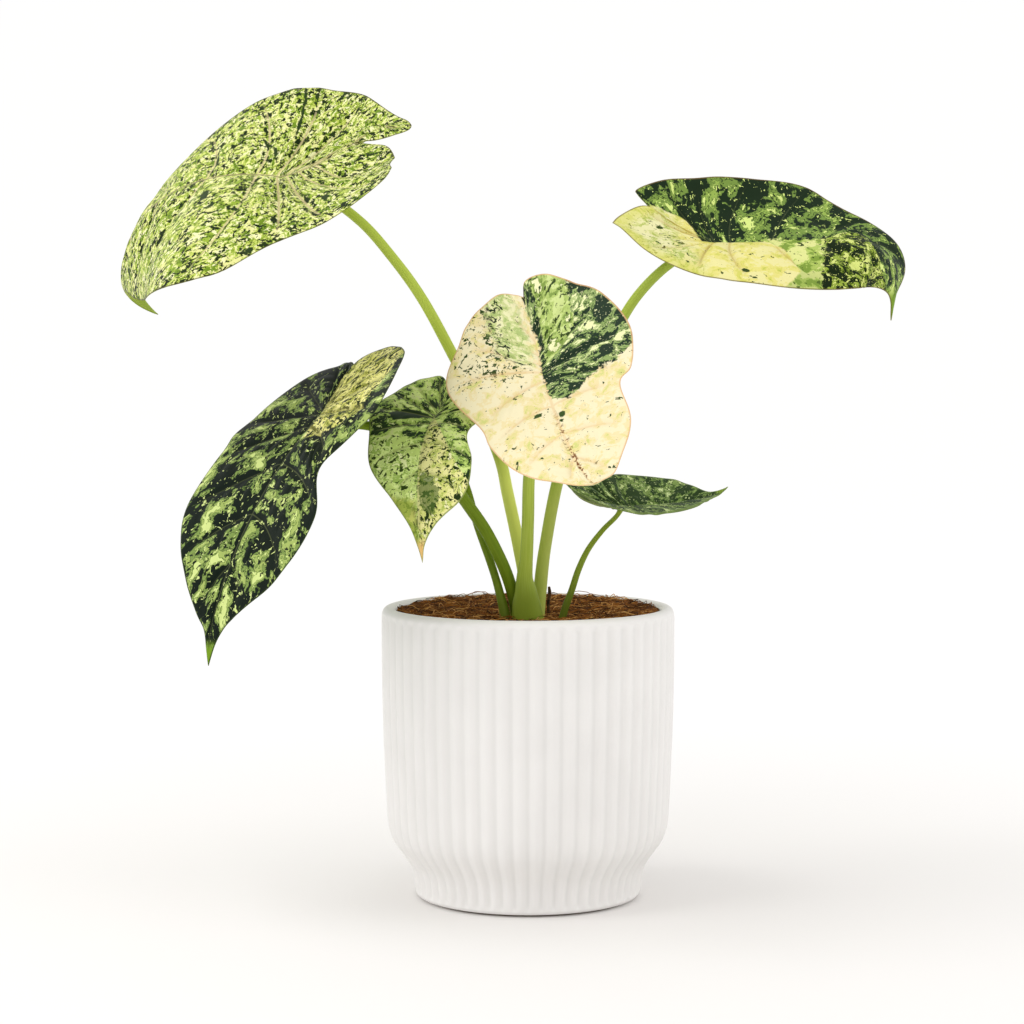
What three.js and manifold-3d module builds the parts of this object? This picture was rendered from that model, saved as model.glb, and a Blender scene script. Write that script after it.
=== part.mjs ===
// A potted aroid with six marbled, peltate leaves, in a ribbed ceramic cover pot filled with coir.
// Millimetres, +Z up. The origin is the centre of the pot's underside, +X is to the viewer's
// right and +Y points away from the viewer.
import * as THREE from 'three';
import { mergeVertices } from 'three/addons/utils/BufferGeometryUtils.js';
import Module from 'manifold-3d';

const wasm = await Module();
wasm.setup();

// Clearance between pieces that touch on the real plant
const GAP = 0.3;

// Ceramic cover pot: heights and radii of its outside, from the foot up to the ribbed wall's top
const POT_HEIGHT = 140;
const POT_RIM_RADIUS = 70;
const POT_INNER_RADIUS = 63.7;
const POT_FLOOR_HEIGHT = 6;
const FOOT_RADIUS = 50;
const FOOT_HEIGHT = 1.3;
const RIB_COUNT = 56;
const RIB_DEPTH = 1.1;
// [height, radius, how far the ribs are raised from 0 to 1]
const POT_OUTSIDE = [
  [FOOT_HEIGHT, 53.0, 0], [2.6, 54.1, 0], [4.6, 54.5, 1], [12, 55.5, 1], [18, 57.9, 1],
  [24, 62.0, 1], [30, 65.9, 1], [37, 67.5, 1], [60, 68.7, 1], [100, 70.1, 1],
  [133.5, 70.2, 1], [136.3, POT_RIM_RADIUS, 0],
];
// [height, radius] over the rounded lip and down the inner wall to the floor
const POT_INSIDE = [
  [138.6, 69.4], [POT_HEIGHT, 67.6], [POT_HEIGHT, 66.0], [139.2, 64.4], [137.4, POT_INNER_RADIUS],
  [40, 61.4], [24, 56.0], [14, 49.8], [8, 48.4], [POT_FLOOR_HEIGHT, 46.5],
];

// Coir filling: a shallow dish round the stems, higher at the back and at the wall
const COIR_CENTRE_HEIGHT = 134.6;
const COIR_EDGE_RISE = 3.2;
const COIR_BACK_RISE = 1.0;
const COIR_LUMP = 0.5;
// The pot's wall and its facets leave this much free round the coir
const COIR_CLEARANCE = 0.39;
// [part of the radius, corners] of the rings on the top surface
const COIR_RINGS = [[1, 28], [0.86, 28], [0.7, 28], [0.52, 28], [0.34, 28], [0.16, 14]];

// Rootstock: a stout tuber under the coir with fleshy roots, its flat crown carrying the stems
const CROWN_HEIGHT = 117;
const TUBER = [[CROWN_HEIGHT, 17], [111, 18], [98, 16.5], [86, 12], [78, 6]];
const TUBER_CENTRE = [-0.5, -3];
const TUBER_SIDES = 20;
const ROOT_COUNT = 6;
const ROOT_REACH = 40;
const ROOT_BOTTOM = 42;
const ROOT_UNEVENNESS = 6;
const ROOT_WANDER = 0.35;
const ROOT_SIDES = 6;
const ROOT_STEP = 14;
// [part of the reach, height, radius] along each root, the last height is varied
const ROOT_LINE = [
  [0.2, 100, 2], [0.43, 96, 1.8], [0.68, 84, 1.5], [0.9, 64, 1.2], [1, ROOT_BOTTOM, 0.8],
];

// Leaf blades
const BLADE_THICKNESS = 0.9;
// Where each outline point's rib leaves the midrib: first as parts of the notch's depth
// behind the petiole's seat, then as parts of the blade's length in front of it.
const RIB_ROOTS_BEHIND = [1, 0.7, 0.42, 0.22, 0.08];
const RIB_ROOTS_AHEAD = [0.01, 0.07, 0.24, 0.45, 0.64, 0.79, 1];
// Rows run along the ribs (whole numbers, counted like the outline points) and along the crests
const ROWS = [
  0, 0.7, 1.35, 2, 2.5, 3, 3.5, 4, 4.5, 5, 5.5, 6, 6.5, 7, 7.5, 8, 8.5, 9, 9.5, 10, 10.5, 11,
];
// Ribs bow back by this part of the length. The rows are where that begins, is full, fades, ends.
const RIB_BOW = 0.035;
const BOWED_ROWS = [4, 6, 9.3, 10.5];
const LOBE_BOWED_ROWS = [0, 1, 2, 4];
const KEEL_ROWS = [0, 3, 4, 11];
// The first crest spans the rows before this one, and the last crest the rows after the other
const NOTCH_RIB_ROW = 2;
const TIP_RIB_ROW = 9;
const VALLEY_PART = 0.4;
const BROAD_COLUMNS = [0, 0.07, 0.24, 0.46, 0.7, 0.88, 1];
const SMALL_COLUMNS = [0, 0.1, 0.35, 0.68, 1];
// Parts of the blade's length: where the tip's curl starts and ends unless the blade has its own
// places for it, how wide half a blade is, how far the lobes reach behind the seat, where the
// front lift is full
const CURL_FROM = 0.8;
const CURL_TO = 1;
const HALF_WIDTH = 0.44;
const LOBE_REACH = 0.47;
const FRONT_FOLD = 0.6;
// The midrib is worked out this far beyond the lobes and the tip, in this many steps
const MIDRIB_REACH = [1.3, 1.08];
const MIDRIB_STEPS = 240;

// Each blade: seat is where the petiole meets the top surface; heading, pitch and roll turn it
// (degrees); length runs from the seat to the tip and lobes scales what lies behind the seat.
// droop and tip_curl bend the midrib down, back_rise lifts it behind the seat, sweep and
// back_sweep curve it sideways, twist turns it about the midrib. curl_from and curl_to are
// where the tip's curl begins and ends. Each side has its lift out of
// the blade's plane, its extra lift behind and in front, its curl (in half widths) and its
// outline from the notch round the lobe to the tip, as parts of the length.
const BLADES = {
  upper_left: {
    seat: [-117, -11, 344], heading: 163, pitch: 9, roll: -32.7, length: 168.5, lobes: 0.89,
    droop: 95, tip_curl: 61, back_rise: 36, sweep: -11.3, back_sweep: 18.2, twist: -19,
    keel: 1.3, quilt: 1.1, columns: BROAD_COLUMNS,
    left: {
      lift: 13.2, back_lift: 1.3, front_lift: -27, curl: -0.39,
      edge: [[-0.23, -0.15], [-0.37, -0.07], [-0.42, 0.12], [-0.44, 0.26], [-0.28, 0.35],
        [-0.14, 0.39], [0.06, 0.55], [0.45, 0.34], [0.63, 0.23], [0.78, 0.09], [0.89, 0.02], [1, 0]],
    },
    right: {
      lift: 8.4, back_lift: 5, front_lift: -15.5, curl: 0, lobe_bow: 0.09,
      edge: [[-0.23, 0.15], [-0.38, 0.12], [-0.46, 0.11], [-0.42, 0.19], [-0.21, 0.37], [0.03, 0.41],
        [0.22, 0.37], [0.4, 0.3], [0.62, 0.21], [0.8, 0.11], [0.92, 0.06], [1, 0]],
    },
  },
  upper_right: {
    seat: [87.8, -2.8, 313.6], heading: 0.5, pitch: -0.5, roll: 4.5, length: 117.5, lobes: 0.89,
    droop: -8.6, tip_curl: 103, curl_from: 0.49, curl_to: 0.93, back_rise: 21.6, sweep: 5.6,
    back_sweep: 0, twist: 4.2, keel: 1.3, quilt: 1.0, columns: BROAD_COLUMNS,
    left: {
      lift: 33, back_lift: -1.3, front_lift: -27, curl: 0.93,
      edge: [[-0.05, 0.02], [-0.145, 0.125], [-0.295, 0.18], [-0.41, 0.215], [-0.28, 0.295],
        [-0.08, 0.325], [0.18, 0.34], [0.44, 0.36], [0.63, 0.215], [0.82, 0.205], [0.915, 0.07], [1, 0]],
    },
    right: {
      lift: -4.8, back_lift: 8.7, front_lift: -18, curl: -0.59,
      edge: [[-0.05, -0.02], [-0.17, -0.13], [-0.365, -0.15], [-0.47, 0.03], [-0.34, 0.29],
        [-0.085, 0.365], [0.125, 0.385], [0.42, 0.335], [0.65, 0.29], [0.79, 0.25], [0.89, 0.06], [1, 0]],
    },
  },
  centre: {
    seat: [6.5, -62, 253.5], heading: -75, pitch: -46, roll: 25, length: 95, lobes: 1.26,
    droop: -21, tip_curl: -34, back_rise: 11, sweep: 15, back_sweep: 0, twist: -3,
    keel: 1.1, quilt: 0.7, columns: BROAD_COLUMNS,
    left: {
      lift: 7, back_lift: -6, front_lift: 0, curl: 0.05,
      edge: [[-0.37, 0], [-0.44, 0.03], [-0.44, 0.14], [-0.36, 0.26], [-0.26, 0.38], [-0.04, 0.47],
        [0.21, 0.42], [0.29, 0.34], [0.59, 0.31], [0.88, 0.13], [0.93, 0.05], [1, 0]],
    },
    right: {
      lift: 4, back_lift: -7, front_lift: 0, curl: -0.29,
      edge: [[-0.37, 0], [-0.39, 0.03], [-0.42, 0.13], [-0.36, 0.29], [-0.27, 0.37], [-0.09, 0.48],
        [0.21, 0.36], [0.36, 0.34], [0.62, 0.25], [0.84, 0.08], [0.9, 0.04], [1, 0]],
    },
  },
  lower_left: {
    seat: [-96, -40, 233.5], heading: -140, pitch: -41, roll: 6, length: 132, lobes: 0.77,
    droop: 37, tip_curl: 11, back_rise: -3, sweep: -4, back_sweep: 0, twist: -18,
    keel: 1.3, quilt: 1.1, columns: BROAD_COLUMNS,
    left: {
      lift: 6, back_lift: -3, front_lift: 0, curl: 0,
      edge: [[-0.23, -0.055], [-0.4, -0.1], [-0.465, 0.04], [-0.41, 0.19], [-0.26, 0.31], [0.05, 0.47],
        [0.26, 0.3], [0.45, 0.4], [0.66, 0.3], [0.82, 0.11], [0.89, 0.05], [1, 0]],
    },
    right: {
      lift: 0, back_lift: -1, front_lift: 0, curl: 0.02,
      edge: [[-0.23, 0.055], [-0.345, 0.095], [-0.385, 0.145], [-0.375, 0.21], [-0.28, 0.38],
        [0.03, 0.47], [0.23, 0.42], [0.47, 0.38], [0.64, 0.27], [0.82, 0.1], [0.89, 0.03], [1, 0]],
    },
  },
  small_left: {
    seat: [-43.5, -40, 231.5], heading: -108, pitch: -28, roll: 13, length: 78, lobes: 1.04,
    droop: 68, tip_curl: -26, back_rise: 5, sweep: -1, back_sweep: 0, twist: -2,
    keel: 0.7, quilt: 0.6, columns: SMALL_COLUMNS,
    left: {
      lift: 5, back_lift: 0, front_lift: 0, curl: -0.43,
      edge: [[-0.28, 0], [-0.36, 0.03], [-0.46, 0.12], [-0.42, 0.25], [-0.27, 0.35], [-0.07, 0.43],
        [0.19, 0.28], [0.42, 0.33], [0.64, 0.29], [0.79, 0.1], [0.89, 0.02], [1, 0]],
    },
    right: {
      lift: 18, back_lift: -4, front_lift: 0, curl: -0.08,
      edge: [[-0.28, 0], [-0.37, 0.03], [-0.46, 0.11], [-0.4, 0.26], [-0.27, 0.34], [-0.08, 0.42],
        [0.18, 0.35], [0.41, 0.3], [0.61, 0.16], [0.76, 0.07], [0.89, 0.03], [1, 0]],
    },
  },
  small_right: {
    seat: [44, -31, 190], heading: 25, pitch: -2, roll: 9, length: 58, lobes: 1.07,
    droop: -14, tip_curl: -25, back_rise: 27, sweep: 4, back_sweep: 0, twist: 0,
    keel: 0.4, quilt: 0.45, columns: SMALL_COLUMNS,
    left: {
      lift: 26, back_lift: 0, front_lift: 0, curl: -0.08,
      edge: [[-0.22, 0], [-0.36, 0.03], [-0.5, 0.12], [-0.43, 0.26], [-0.27, 0.35], [-0.05, 0.43],
        [0.16, 0.44], [0.44, 0.38], [0.65, 0.28], [0.81, 0.09], [0.9, 0.04], [1, 0]],
    },
    right: {
      lift: 14, back_lift: -2, front_lift: 0, curl: -0.38,
      edge: [[-0.22, 0], [-0.37, 0.03], [-0.52, 0.11], [-0.43, 0.26], [-0.27, 0.35], [-0.04, 0.42],
        [0.16, 0.42], [0.42, 0.35], [0.63, 0.23], [0.81, 0.09], [0.9, 0.04], [1, 0]],
    },
  },
};

// Petioles, from the crown up to the blade that each carries: the places along it, then the
// radius there, or the radii across and front to back where the centre one flattens into the
// sheath that clasps the crown
const PETIOLE_FOOT = CROWN_HEIGHT + GAP;
const PETIOLES = {
  upper_left: {
    sides: 12,
    path: [[-1.5, 7.5, PETIOLE_FOOT, 3.4], [-1.5, 7.5, 136, 3.3], [-1.6, 6, 152, 3.1],
      [-4.6, 5.5, 169, 3], [-9.9, 5, 194.5, 2.9], [-13, 4.5, 209, 2.8], [-24.5, 4.5, 237, 2.7],
      [-37.5, 4, 263, 2.6], [-51.5, 3, 288.5, 2.5], [-64.5, 2, 306.5, 2.4], [-79.5, 1, 323.5, 2.3],
      [-98, 1, 336.5, 2.2], [-111, -4, 340, 2.2]],
  },
  upper_right: {
    sides: 12,
    path: [[4.8, 1.5, PETIOLE_FOOT, 3.3], [4.8, 1.5, 136, 3.3], [5.8, 1, 148.6, 3.2], [7.2, 0, 162, 3],
      [8.5, -1, 170.5, 2.9], [13.9, -4, 199, 2.8], [20.5, -4.5, 220, 2.7], [30, -5, 245, 2.6],
      [45, -6, 278, 2.4], [54, -6, 291, 2.3], [66, -5, 302.5, 2.2], [79, -3, 310, 2.1]],
  },
  centre: {
    sides: 12,
    path: [[0, -9, PETIOLE_FOOT, 7.4, 5], [-0.1, -9, 134, 7.7, 5.2], [-0.9, -9.5, 142, 6.7, 4.7],
      [-1.2, -10, 148, 5.3, 4.1], [-1.7, -10.5, 154.5, 3.9, 3.6], [-0.9, -12.5, 163, 3.1],
      [0, -20, 183, 2.9], [0.5, -27, 203, 2.8], [3, -38, 226, 2.6], [6, -53, 247, 2.3]],
  },
  lower_left: {
    sides: 12,
    path: [[-5, -0.5, PETIOLE_FOOT, 3.2], [-5, -0.5, 133, 3.1], [-6.6, -3.5, 143.5, 3],
      [-9.2, -6.5, 153, 2.9], [-12.4, -9, 161.5, 2.9], [-20, -12, 177, 2.9], [-26.5, -15, 187, 2.9],
      [-34, -18, 197.5, 2.8], [-43.5, -22, 209.5, 2.7], [-56, -27, 220, 2.4], [-72, -31, 227, 2.2],
      [-88, -36, 229.5, 2.1]],
  },
  small_left: {
    sides: 10,
    path: [[-11, -6.5, PETIOLE_FOOT, 2.5], [-11, -6.5, 136, 2.6], [-13.2, -6, 145.5, 2.1],
      [-15.4, -4.3, 153.5, 1.9], [-18, -3.5, 161.5, 1.9], [-21.3, -3, 170.5, 1.8], [-24.5, -3.5, 180, 1.8],
      [-28.5, -7, 195.5, 1.7], [-34, -14, 211, 1.6], [-41, -31, 226, 1.5]],
  },
  small_right: {
    sides: 8,
    path: [[13, -8, PETIOLE_FOOT, 1.8], [13.3, -8, 121, 1.8], [17.3, -8, 138.5, 1.8], [20.8, -9, 148.5, 1.6],
      [24, -10, 158.5, 1.4], [28.7, -12, 169, 1.2], [36.4, -17, 178.7, 1.1], [41.9, -26, 185.5, 1]],
  },
};
const PETIOLE_STEP = 9;

// Dried stub of an old petiole beside the crown
const STUB_PATH = [
  [10, 4, 122, 0.9], [10, 4, 134, 0.8], [9.8, 4, 142, 0.7], [10.4, 4, 146, 0.9], [10.1, 4, 149, 0.6],
];
const STUB_SIDES = 8;
const STUB_STEP = 4;

const GLAZE = new THREE.MeshStandardMaterial({ color: 0xf1efec, roughness: 0.55 });
const COIR = new THREE.MeshStandardMaterial({ color: 0x7a4722, roughness: 0.95 });
const ROOT = new THREE.MeshStandardMaterial({ color: 0x8a6b4a, roughness: 0.85 });
const STEM = new THREE.MeshStandardMaterial({ color: 0x9dbb3f, roughness: 0.5 });
const DRY = new THREE.MeshStandardMaterial({ color: 0x2a1c10, roughness: 0.9 });
const BLADE_COLOURS = {
  upper_left: 0xb9cf8e, upper_right: 0x5f8a3c, centre: 0xf3e6b8,
  lower_left: 0x2f5a35, small_left: 0x6f9a4c, small_right: 0x35603a,
};

const radians = THREE.MathUtils.degToRad;
const smooth = (value) => THREE.MathUtils.smoothstep(value, 0, 1);
const hump = (value, [begin, full, fading, end]) => (
  smooth((value - begin) / (full - begin)) * (1 - smooth((value - fading) / (end - fading))));

// A closed geometry from its corners and its triangles
function solidGeometry(positions, triangles) {
  const geometry = new THREE.BufferGeometry();
  geometry.setAttribute('position', new THREE.Float32BufferAttribute(positions.flat(), 3));
  geometry.setIndex(triangles.flat());
  return geometry;
}

function toManifold(geometry) {
  const bare = geometry.clone();
  bare.deleteAttribute('normal');
  bare.deleteAttribute('uv');
  const merged = mergeVertices(bare, 1e-4);
  return new wasm.Manifold(new wasm.Mesh({
    numProp: 3,
    vertProperties: new Float32Array(merged.attributes.position.array),
    triVerts: new Uint32Array(merged.index.array),
  }));
}

function toGeometry(manifold) {
  const mesh = manifold.getMesh();
  const geometry = new THREE.BufferGeometry();
  geometry.setAttribute('position', new THREE.BufferAttribute(new Float32Array(mesh.vertProperties), 3));
  geometry.setIndex(new THREE.BufferAttribute(new Uint32Array(mesh.triVerts), 1));
  return geometry;
}

// The largest of the bodies that a cut leaves
function largestBody(manifold) {
  const bodies = manifold.decompose();
  bodies.sort((a, b) => b.volume() - a.volume());
  return bodies[0];
}

// A uniform Catmull-Rom curve through points of any dimension, at a parameter counted in points
function curveAt(points, parameter) {
  const last = points.length - 1;
  const start = Math.min(Math.floor(parameter), last - 1);
  const step = parameter - start;
  const reach = (index, axis) => {
    if (index < 0) return 2 * points[0][axis] - points[1][axis];
    if (index > last) return 2 * points[last][axis] - points[last - 1][axis];
    return points[index][axis];
  };
  return points[0].map((_, axis) => {
    const [a, b, c, d] = [-1, 0, 1, 2].map((offset) => reach(start + offset, axis));
    return 0.5 * (2 * b + (c - a) * step + (2 * a - 5 * b + 4 * c - d) * step ** 2
      + (3 * b - a - 3 * c + d) * step ** 3);
  });
}

// The blade's midrib as a table: place, sideways direction and upward direction, in the blade's
// own axes (x along the midrib, y to the left, z up from the top face)
function midribTable(blade) {
  const { curl_from: curlFrom = CURL_FROM, curl_to: curlTo = CURL_TO } = blade;
  const back = blade.length * LOBE_REACH * blade.lobes;
  const from = -MIDRIB_REACH[0] * back;
  const to = MIDRIB_REACH[1] * blade.length;
  const stride = (to - from) / MIDRIB_STEPS;
  const rows = [];
  const place = new THREE.Vector3();
  for (let index = 0; index <= MIDRIB_STEPS; index += 1) {
    const along = from + stride * index;
    const ahead = Math.max(along / blade.length, 0);
    const behind = Math.max(-along / back, 0);
    const tip = smooth((ahead - curlFrom) / (curlTo - curlFrom));
    const bend = along < 0
      ? -radians(blade.back_rise) * behind
      : -radians(blade.droop) * ahead - radians(blade.tip_curl) * tip;
    const turn = along < 0 ? radians(blade.back_sweep) * behind : radians(blade.sweep) * ahead;
    const twist = radians(blade.twist) * ahead;
    const tangent = new THREE.Vector3(
      Math.cos(bend) * Math.cos(turn), Math.sin(turn), Math.sin(bend) * Math.cos(turn));
    const side = new THREE.Vector3(0, 1, 0).addScaledVector(tangent, -tangent.y).normalize();
    const up = tangent.clone().cross(side);
    place.addScaledVector(tangent, stride);
    rows.push({
      place: place.clone(),
      side: side.clone().multiplyScalar(Math.cos(twist)).addScaledVector(up, Math.sin(twist)),
      up: up.clone().multiplyScalar(Math.cos(twist)).addScaledVector(side, -Math.sin(twist)),
    });
  }
  const read = (along, key) => {
    const at = THREE.MathUtils.clamp((along - from) / stride, 0, MIDRIB_STEPS - 1e-6);
    const low = Math.floor(at);
    return rows[low][key].clone().lerp(rows[low + 1][key], at - low);
  };
  const origin = read(0, 'place');
  return (along) => ({
    place: read(along, 'place').sub(origin), side: read(along, 'side'), up: read(along, 'up'),
  });
}

// The point of the bent blade above a point of its flat outline: out from the midrib the
// surface leaves at the side's lift and curls by the same amount for each millimetre
function bladeSurface(blade) {
  const midrib = midribTable(blade);
  const back = blade.length * LOBE_REACH * blade.lobes;
  const heading = radians(blade.heading);
  const pitch = radians(blade.pitch);
  const forward = new THREE.Vector3(
    Math.cos(heading) * Math.cos(pitch), Math.sin(heading) * Math.cos(pitch), Math.sin(pitch));
  const level = new THREE.Vector3(-Math.sin(heading), Math.cos(heading), 0);
  const normal = forward.clone().cross(level);
  const roll = radians(blade.roll);
  const leftward = level.clone().multiplyScalar(Math.cos(roll)).addScaledVector(normal, Math.sin(roll));
  const upward = normal.clone().multiplyScalar(Math.cos(roll)).addScaledVector(level, -Math.sin(roll));
  return (x, y) => {
    const side = y >= 0 ? blade.left : blade.right;
    const out = Math.abs(y);
    const lift = radians(side.lift + side.back_lift * smooth(-x / back)
      + side.front_lift * smooth(x / (FRONT_FOLD * blade.length)));
    const curl = (side.curl || 1e-6) / (HALF_WIDTH * blade.length);
    const sideways = (Math.sin(lift + curl * out) - Math.sin(lift)) / curl;
    const above = (Math.cos(lift) - Math.cos(lift + curl * out)) / curl;
    const rib = midrib(x);
    const local = rib.place.addScaledVector(rib.side, y >= 0 ? sideways : -sideways)
      .addScaledVector(rib.up, above);
    return new THREE.Vector3(...blade.seat).addScaledVector(forward, local.x)
      .addScaledVector(leftward, local.y).addScaledVector(upward, local.z);
  };
}

// A flat point of the blade: row counts the outline points from the notch to the tip,
// column runs from the midrib (0) along the rib to the margin (1)
function flatPoint(blade, sign, row, column) {
  const side = sign > 0 ? blade.left : blade.right;
  const [notchX, notchY] = side.edge[0];
  const roots = [
    ...RIB_ROOTS_BEHIND.map((part) => [part * notchX]), ...RIB_ROOTS_AHEAD.map((part) => [part])];
  const [marginX, marginY] = curveAt(side.edge, row);
  const [rootX] = curveAt(roots, row);
  const rootY = rootX < 0 ? notchY * (rootX / notchX) : 0;
  const arch = 4 * column * (1 - column);
  const bow = RIB_BOW * arch * hump(row, BOWED_ROWS);
  const lobeBow = (side.lobe_bow ?? 0) * arch * hump(row, LOBE_BOWED_ROWS);
  const x = rootX + (marginX - rootX) * column - bow;
  const y = rootY + (marginY - rootY) * column + lobeBow;
  return [(x < 0 ? x * blade.lobes : x) * blade.length, y * blade.length * sign];
}

// How far the blade swells up between its ribs, or sinks along them
function quiltHeight(blade, row, column) {
  const pastTip = (row - TIP_RIB_ROW) / (ROWS[ROWS.length - 1] - TIP_RIB_ROW);
  const phase = row < NOTCH_RIB_ROW ? row / NOTCH_RIB_ROW : pastTip > 0 ? pastTip : row % 1;
  const swell = Math.sin(Math.PI * phase) ** 2 - VALLEY_PART;
  return blade.quilt * swell * Math.sin(Math.PI * column) * (1 - smooth(pastTip));
}

// A blade as a closed solid. Both faces use the same corners and the same diagonals, and
// extra is added to both faces for the clearance that a petiole's cut needs.
function bladeGeometry(blade, extra = 0) {
  const surface = bladeSurface(blade);
  const step = 0.4;
  const lastRow = ROWS.length - 1;
  const lastColumn = blade.columns.length - 1;
  const top = [];
  const bottom = [];
  const known = new Map();
  const corner = (sign, i, j) => {
    const shared = j === 0 || i === 0 || i === lastRow;
    const key = shared ? `spine ${i}` : `${sign} ${i} ${j}`;
    if (!known.has(key)) {
      const row = ROWS[i];
      const column = shared ? 0 : blade.columns[j];
      const [x, y] = flatPoint(blade, shared ? 1 : sign, row, column);
      const centre = surface(x, y);
      const along = surface(x + step, y).sub(surface(x - step, y));
      const across = surface(x, y + step).sub(surface(x, y - step));
      const normal = along.cross(across).normalize();
      const keel = column === 0 ? blade.keel * hump(row, KEEL_ROWS) : 0;
      const raised = quiltHeight(blade, row, column);
      const half = BLADE_THICKNESS / 2 + extra;
      known.set(key, top.length);
      top.push(centre.clone().addScaledVector(normal, raised + half).toArray());
      bottom.push(centre.clone().addScaledVector(normal, raised - half - keel).toArray());
    }
    return known.get(key);
  };
  const faces = [];
  const rim = [];
  for (const sign of [1, -1]) {
    for (let i = 0; i < lastRow; i += 1) {
      for (let j = 0; j < lastColumn; j += 1) {
        const [near, ahead] = [corner(sign, i, j), corner(sign, i + 1, j)];
        const [farAhead, far] = [corner(sign, i + 1, j + 1), corner(sign, i, j + 1)];
        for (const [a, b, c] of [[near, ahead, farAhead], [near, farAhead, far]]) {
          if (a !== b && b !== c && a !== c) faces.push(sign > 0 ? [a, b, c] : [a, c, b]);
        }
      }
      const ends = [corner(sign, i, lastColumn), corner(sign, i + 1, lastColumn)];
      rim.push(sign > 0 ? ends : ends.reverse());
    }
  }
  const under = top.length;
  const triangles = faces.map(([a, b, c]) => [a, b, c]);
  for (const [a, b, c] of faces) triangles.push([a + under, c + under, b + under]);
  for (const [a, b] of rim) triangles.push([a, b, b + under], [a, b + under, a + under]);
  return solidGeometry([...top, ...bottom], triangles);
}

// A tapering stem swept along a smooth path, in steps no longer than the given one, with extra
// added to its radii
function stemGeometry(path, sides, extra = 0, longest = PETIOLE_STEP) {
  const places = path.map(([x, y, z]) => new THREE.Vector3(x, y, z));
  const radii = path.map(([, , , across, deep = across]) => [across + extra, deep + extra]);
  const curve = new THREE.CatmullRomCurve3(places, false, 'centripetal');
  const stops = places.slice(1).flatMap((place, index) => {
    const count = Math.ceil(place.distanceTo(places[index]) / longest);
    return Array.from({ length: count }, (_, k) => index + k / count);
  });
  stops.push(places.length - 1);
  const steps = stops.length - 1;
  const positions = [];
  const triangles = [];
  for (let i = 0; i <= steps; i += 1) {
    const low = Math.min(Math.floor(stops[i]), places.length - 2);
    const centre = curve.getPoint(stops[i] / (places.length - 1));
    const tangent = curve.getTangent(stops[i] / (places.length - 1));
    const front = new THREE.Vector3(0, 1, 0).addScaledVector(tangent, -tangent.y).normalize();
    const right = front.clone().cross(tangent);
    const across = THREE.MathUtils.lerp(radii[low][0], radii[low + 1][0], stops[i] - low);
    const deep = THREE.MathUtils.lerp(radii[low][1], radii[low + 1][1], stops[i] - low);
    for (let k = 0; k < sides; k += 1) {
      const angle = (2 * Math.PI * k) / sides;
      positions.push(centre.clone().addScaledVector(right, Math.cos(angle) * across)
        .addScaledVector(front, Math.sin(angle) * deep).toArray());
      const next = (k + 1) % sides;
      if (i < steps) {
        const base = i * sides;
        triangles.push([base + k, base + next, base + next + sides]);
        triangles.push([base + k, base + next + sides, base + k + sides]);
      }
    }
  }
  const end = steps * sides;
  for (let k = 1; k < sides - 1; k += 1) {
    triangles.push([0, k + 1, k], [end, end + k, end + k + 1]);
  }
  return solidGeometry(positions, triangles);
}

// A turned solid from rings of corners, each ring's count a multiple of the next one's or the
// other way round, closed by a fan at each end
function stackedRings(rings) {
  const positions = rings.flat();
  const starts = rings.map((_, index) => rings.slice(0, index).flat().length);
  const triangles = [];
  const joinRings = (index) => {
    const [low, high] = [rings[index].length, rings[index + 1].length];
    const most = Math.max(low, high);
    for (let k = 0; k < most; k += 1) {
      const at = (count, step) => Math.floor(((step % most) * count) / most);
      const [a, b] = [starts[index] + at(low, k), starts[index] + at(low, k + 1)];
      const [c, d] = [starts[index + 1] + at(high, k), starts[index + 1] + at(high, k + 1)];
      if (a !== b) triangles.push([a, b, d]);
      if (c !== d) triangles.push([a, d, c]);
    }
  };
  for (let index = 0; index < rings.length - 1; index += 1) joinRings(index);
  const cap = (index, outward) => {
    for (let k = 1; k < rings[index].length - 1; k += 1) {
      const [a, b, c] = [starts[index], starts[index] + k, starts[index] + k + 1];
      triangles.push(outward ? [a, b, c] : [a, c, b]);
    }
  };
  cap(0, false);
  cap(rings.length - 1, true);
  return solidGeometry(positions, triangles);
}

function ring(height, radius, count, radiusAt = () => radius, heightAt = () => height) {
  return Array.from({ length: count }, (_, k) => {
    const angle = (2 * Math.PI * k) / count - Math.PI / 2;
    const reach = radiusAt(angle, k);
    return [Math.cos(angle) * reach, Math.sin(angle) * reach, heightAt(angle, reach)];
  });
}

// The cover pot: a valley and a crest for each rib outside, plain lip, inner wall and foot
function potGeometry() {
  const outside = POT_OUTSIDE.map(([height, radius, raised]) => (raised
    ? ring(height, radius, 2 * RIB_COUNT, (angle, k) => (k % 2 === 0 ? radius - RIB_DEPTH : radius))
    : ring(height, radius, RIB_COUNT)));
  return stackedRings([
    ring(0, FOOT_RADIUS, RIB_COUNT),
    ring(FOOT_HEIGHT, FOOT_RADIUS, RIB_COUNT),
    ...outside,
    ...POT_INSIDE.map(([height, radius]) => ring(height, radius, RIB_COUNT)),
  ]);
}

function coirHeight(angle, radius) {
  const part = radius / POT_INNER_RADIUS;
  const lumps = Math.sin(3 * angle + 1.3) * Math.sin(9 * part + 0.4) + 0.7 * Math.sin(7 * angle - 6 * part);
  return COIR_CENTRE_HEIGHT + COIR_EDGE_RISE * part ** 2 + COIR_BACK_RISE * part * Math.sin(angle)
    + COIR_LUMP * lumps * part * (1 - part ** 4);
}

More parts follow.
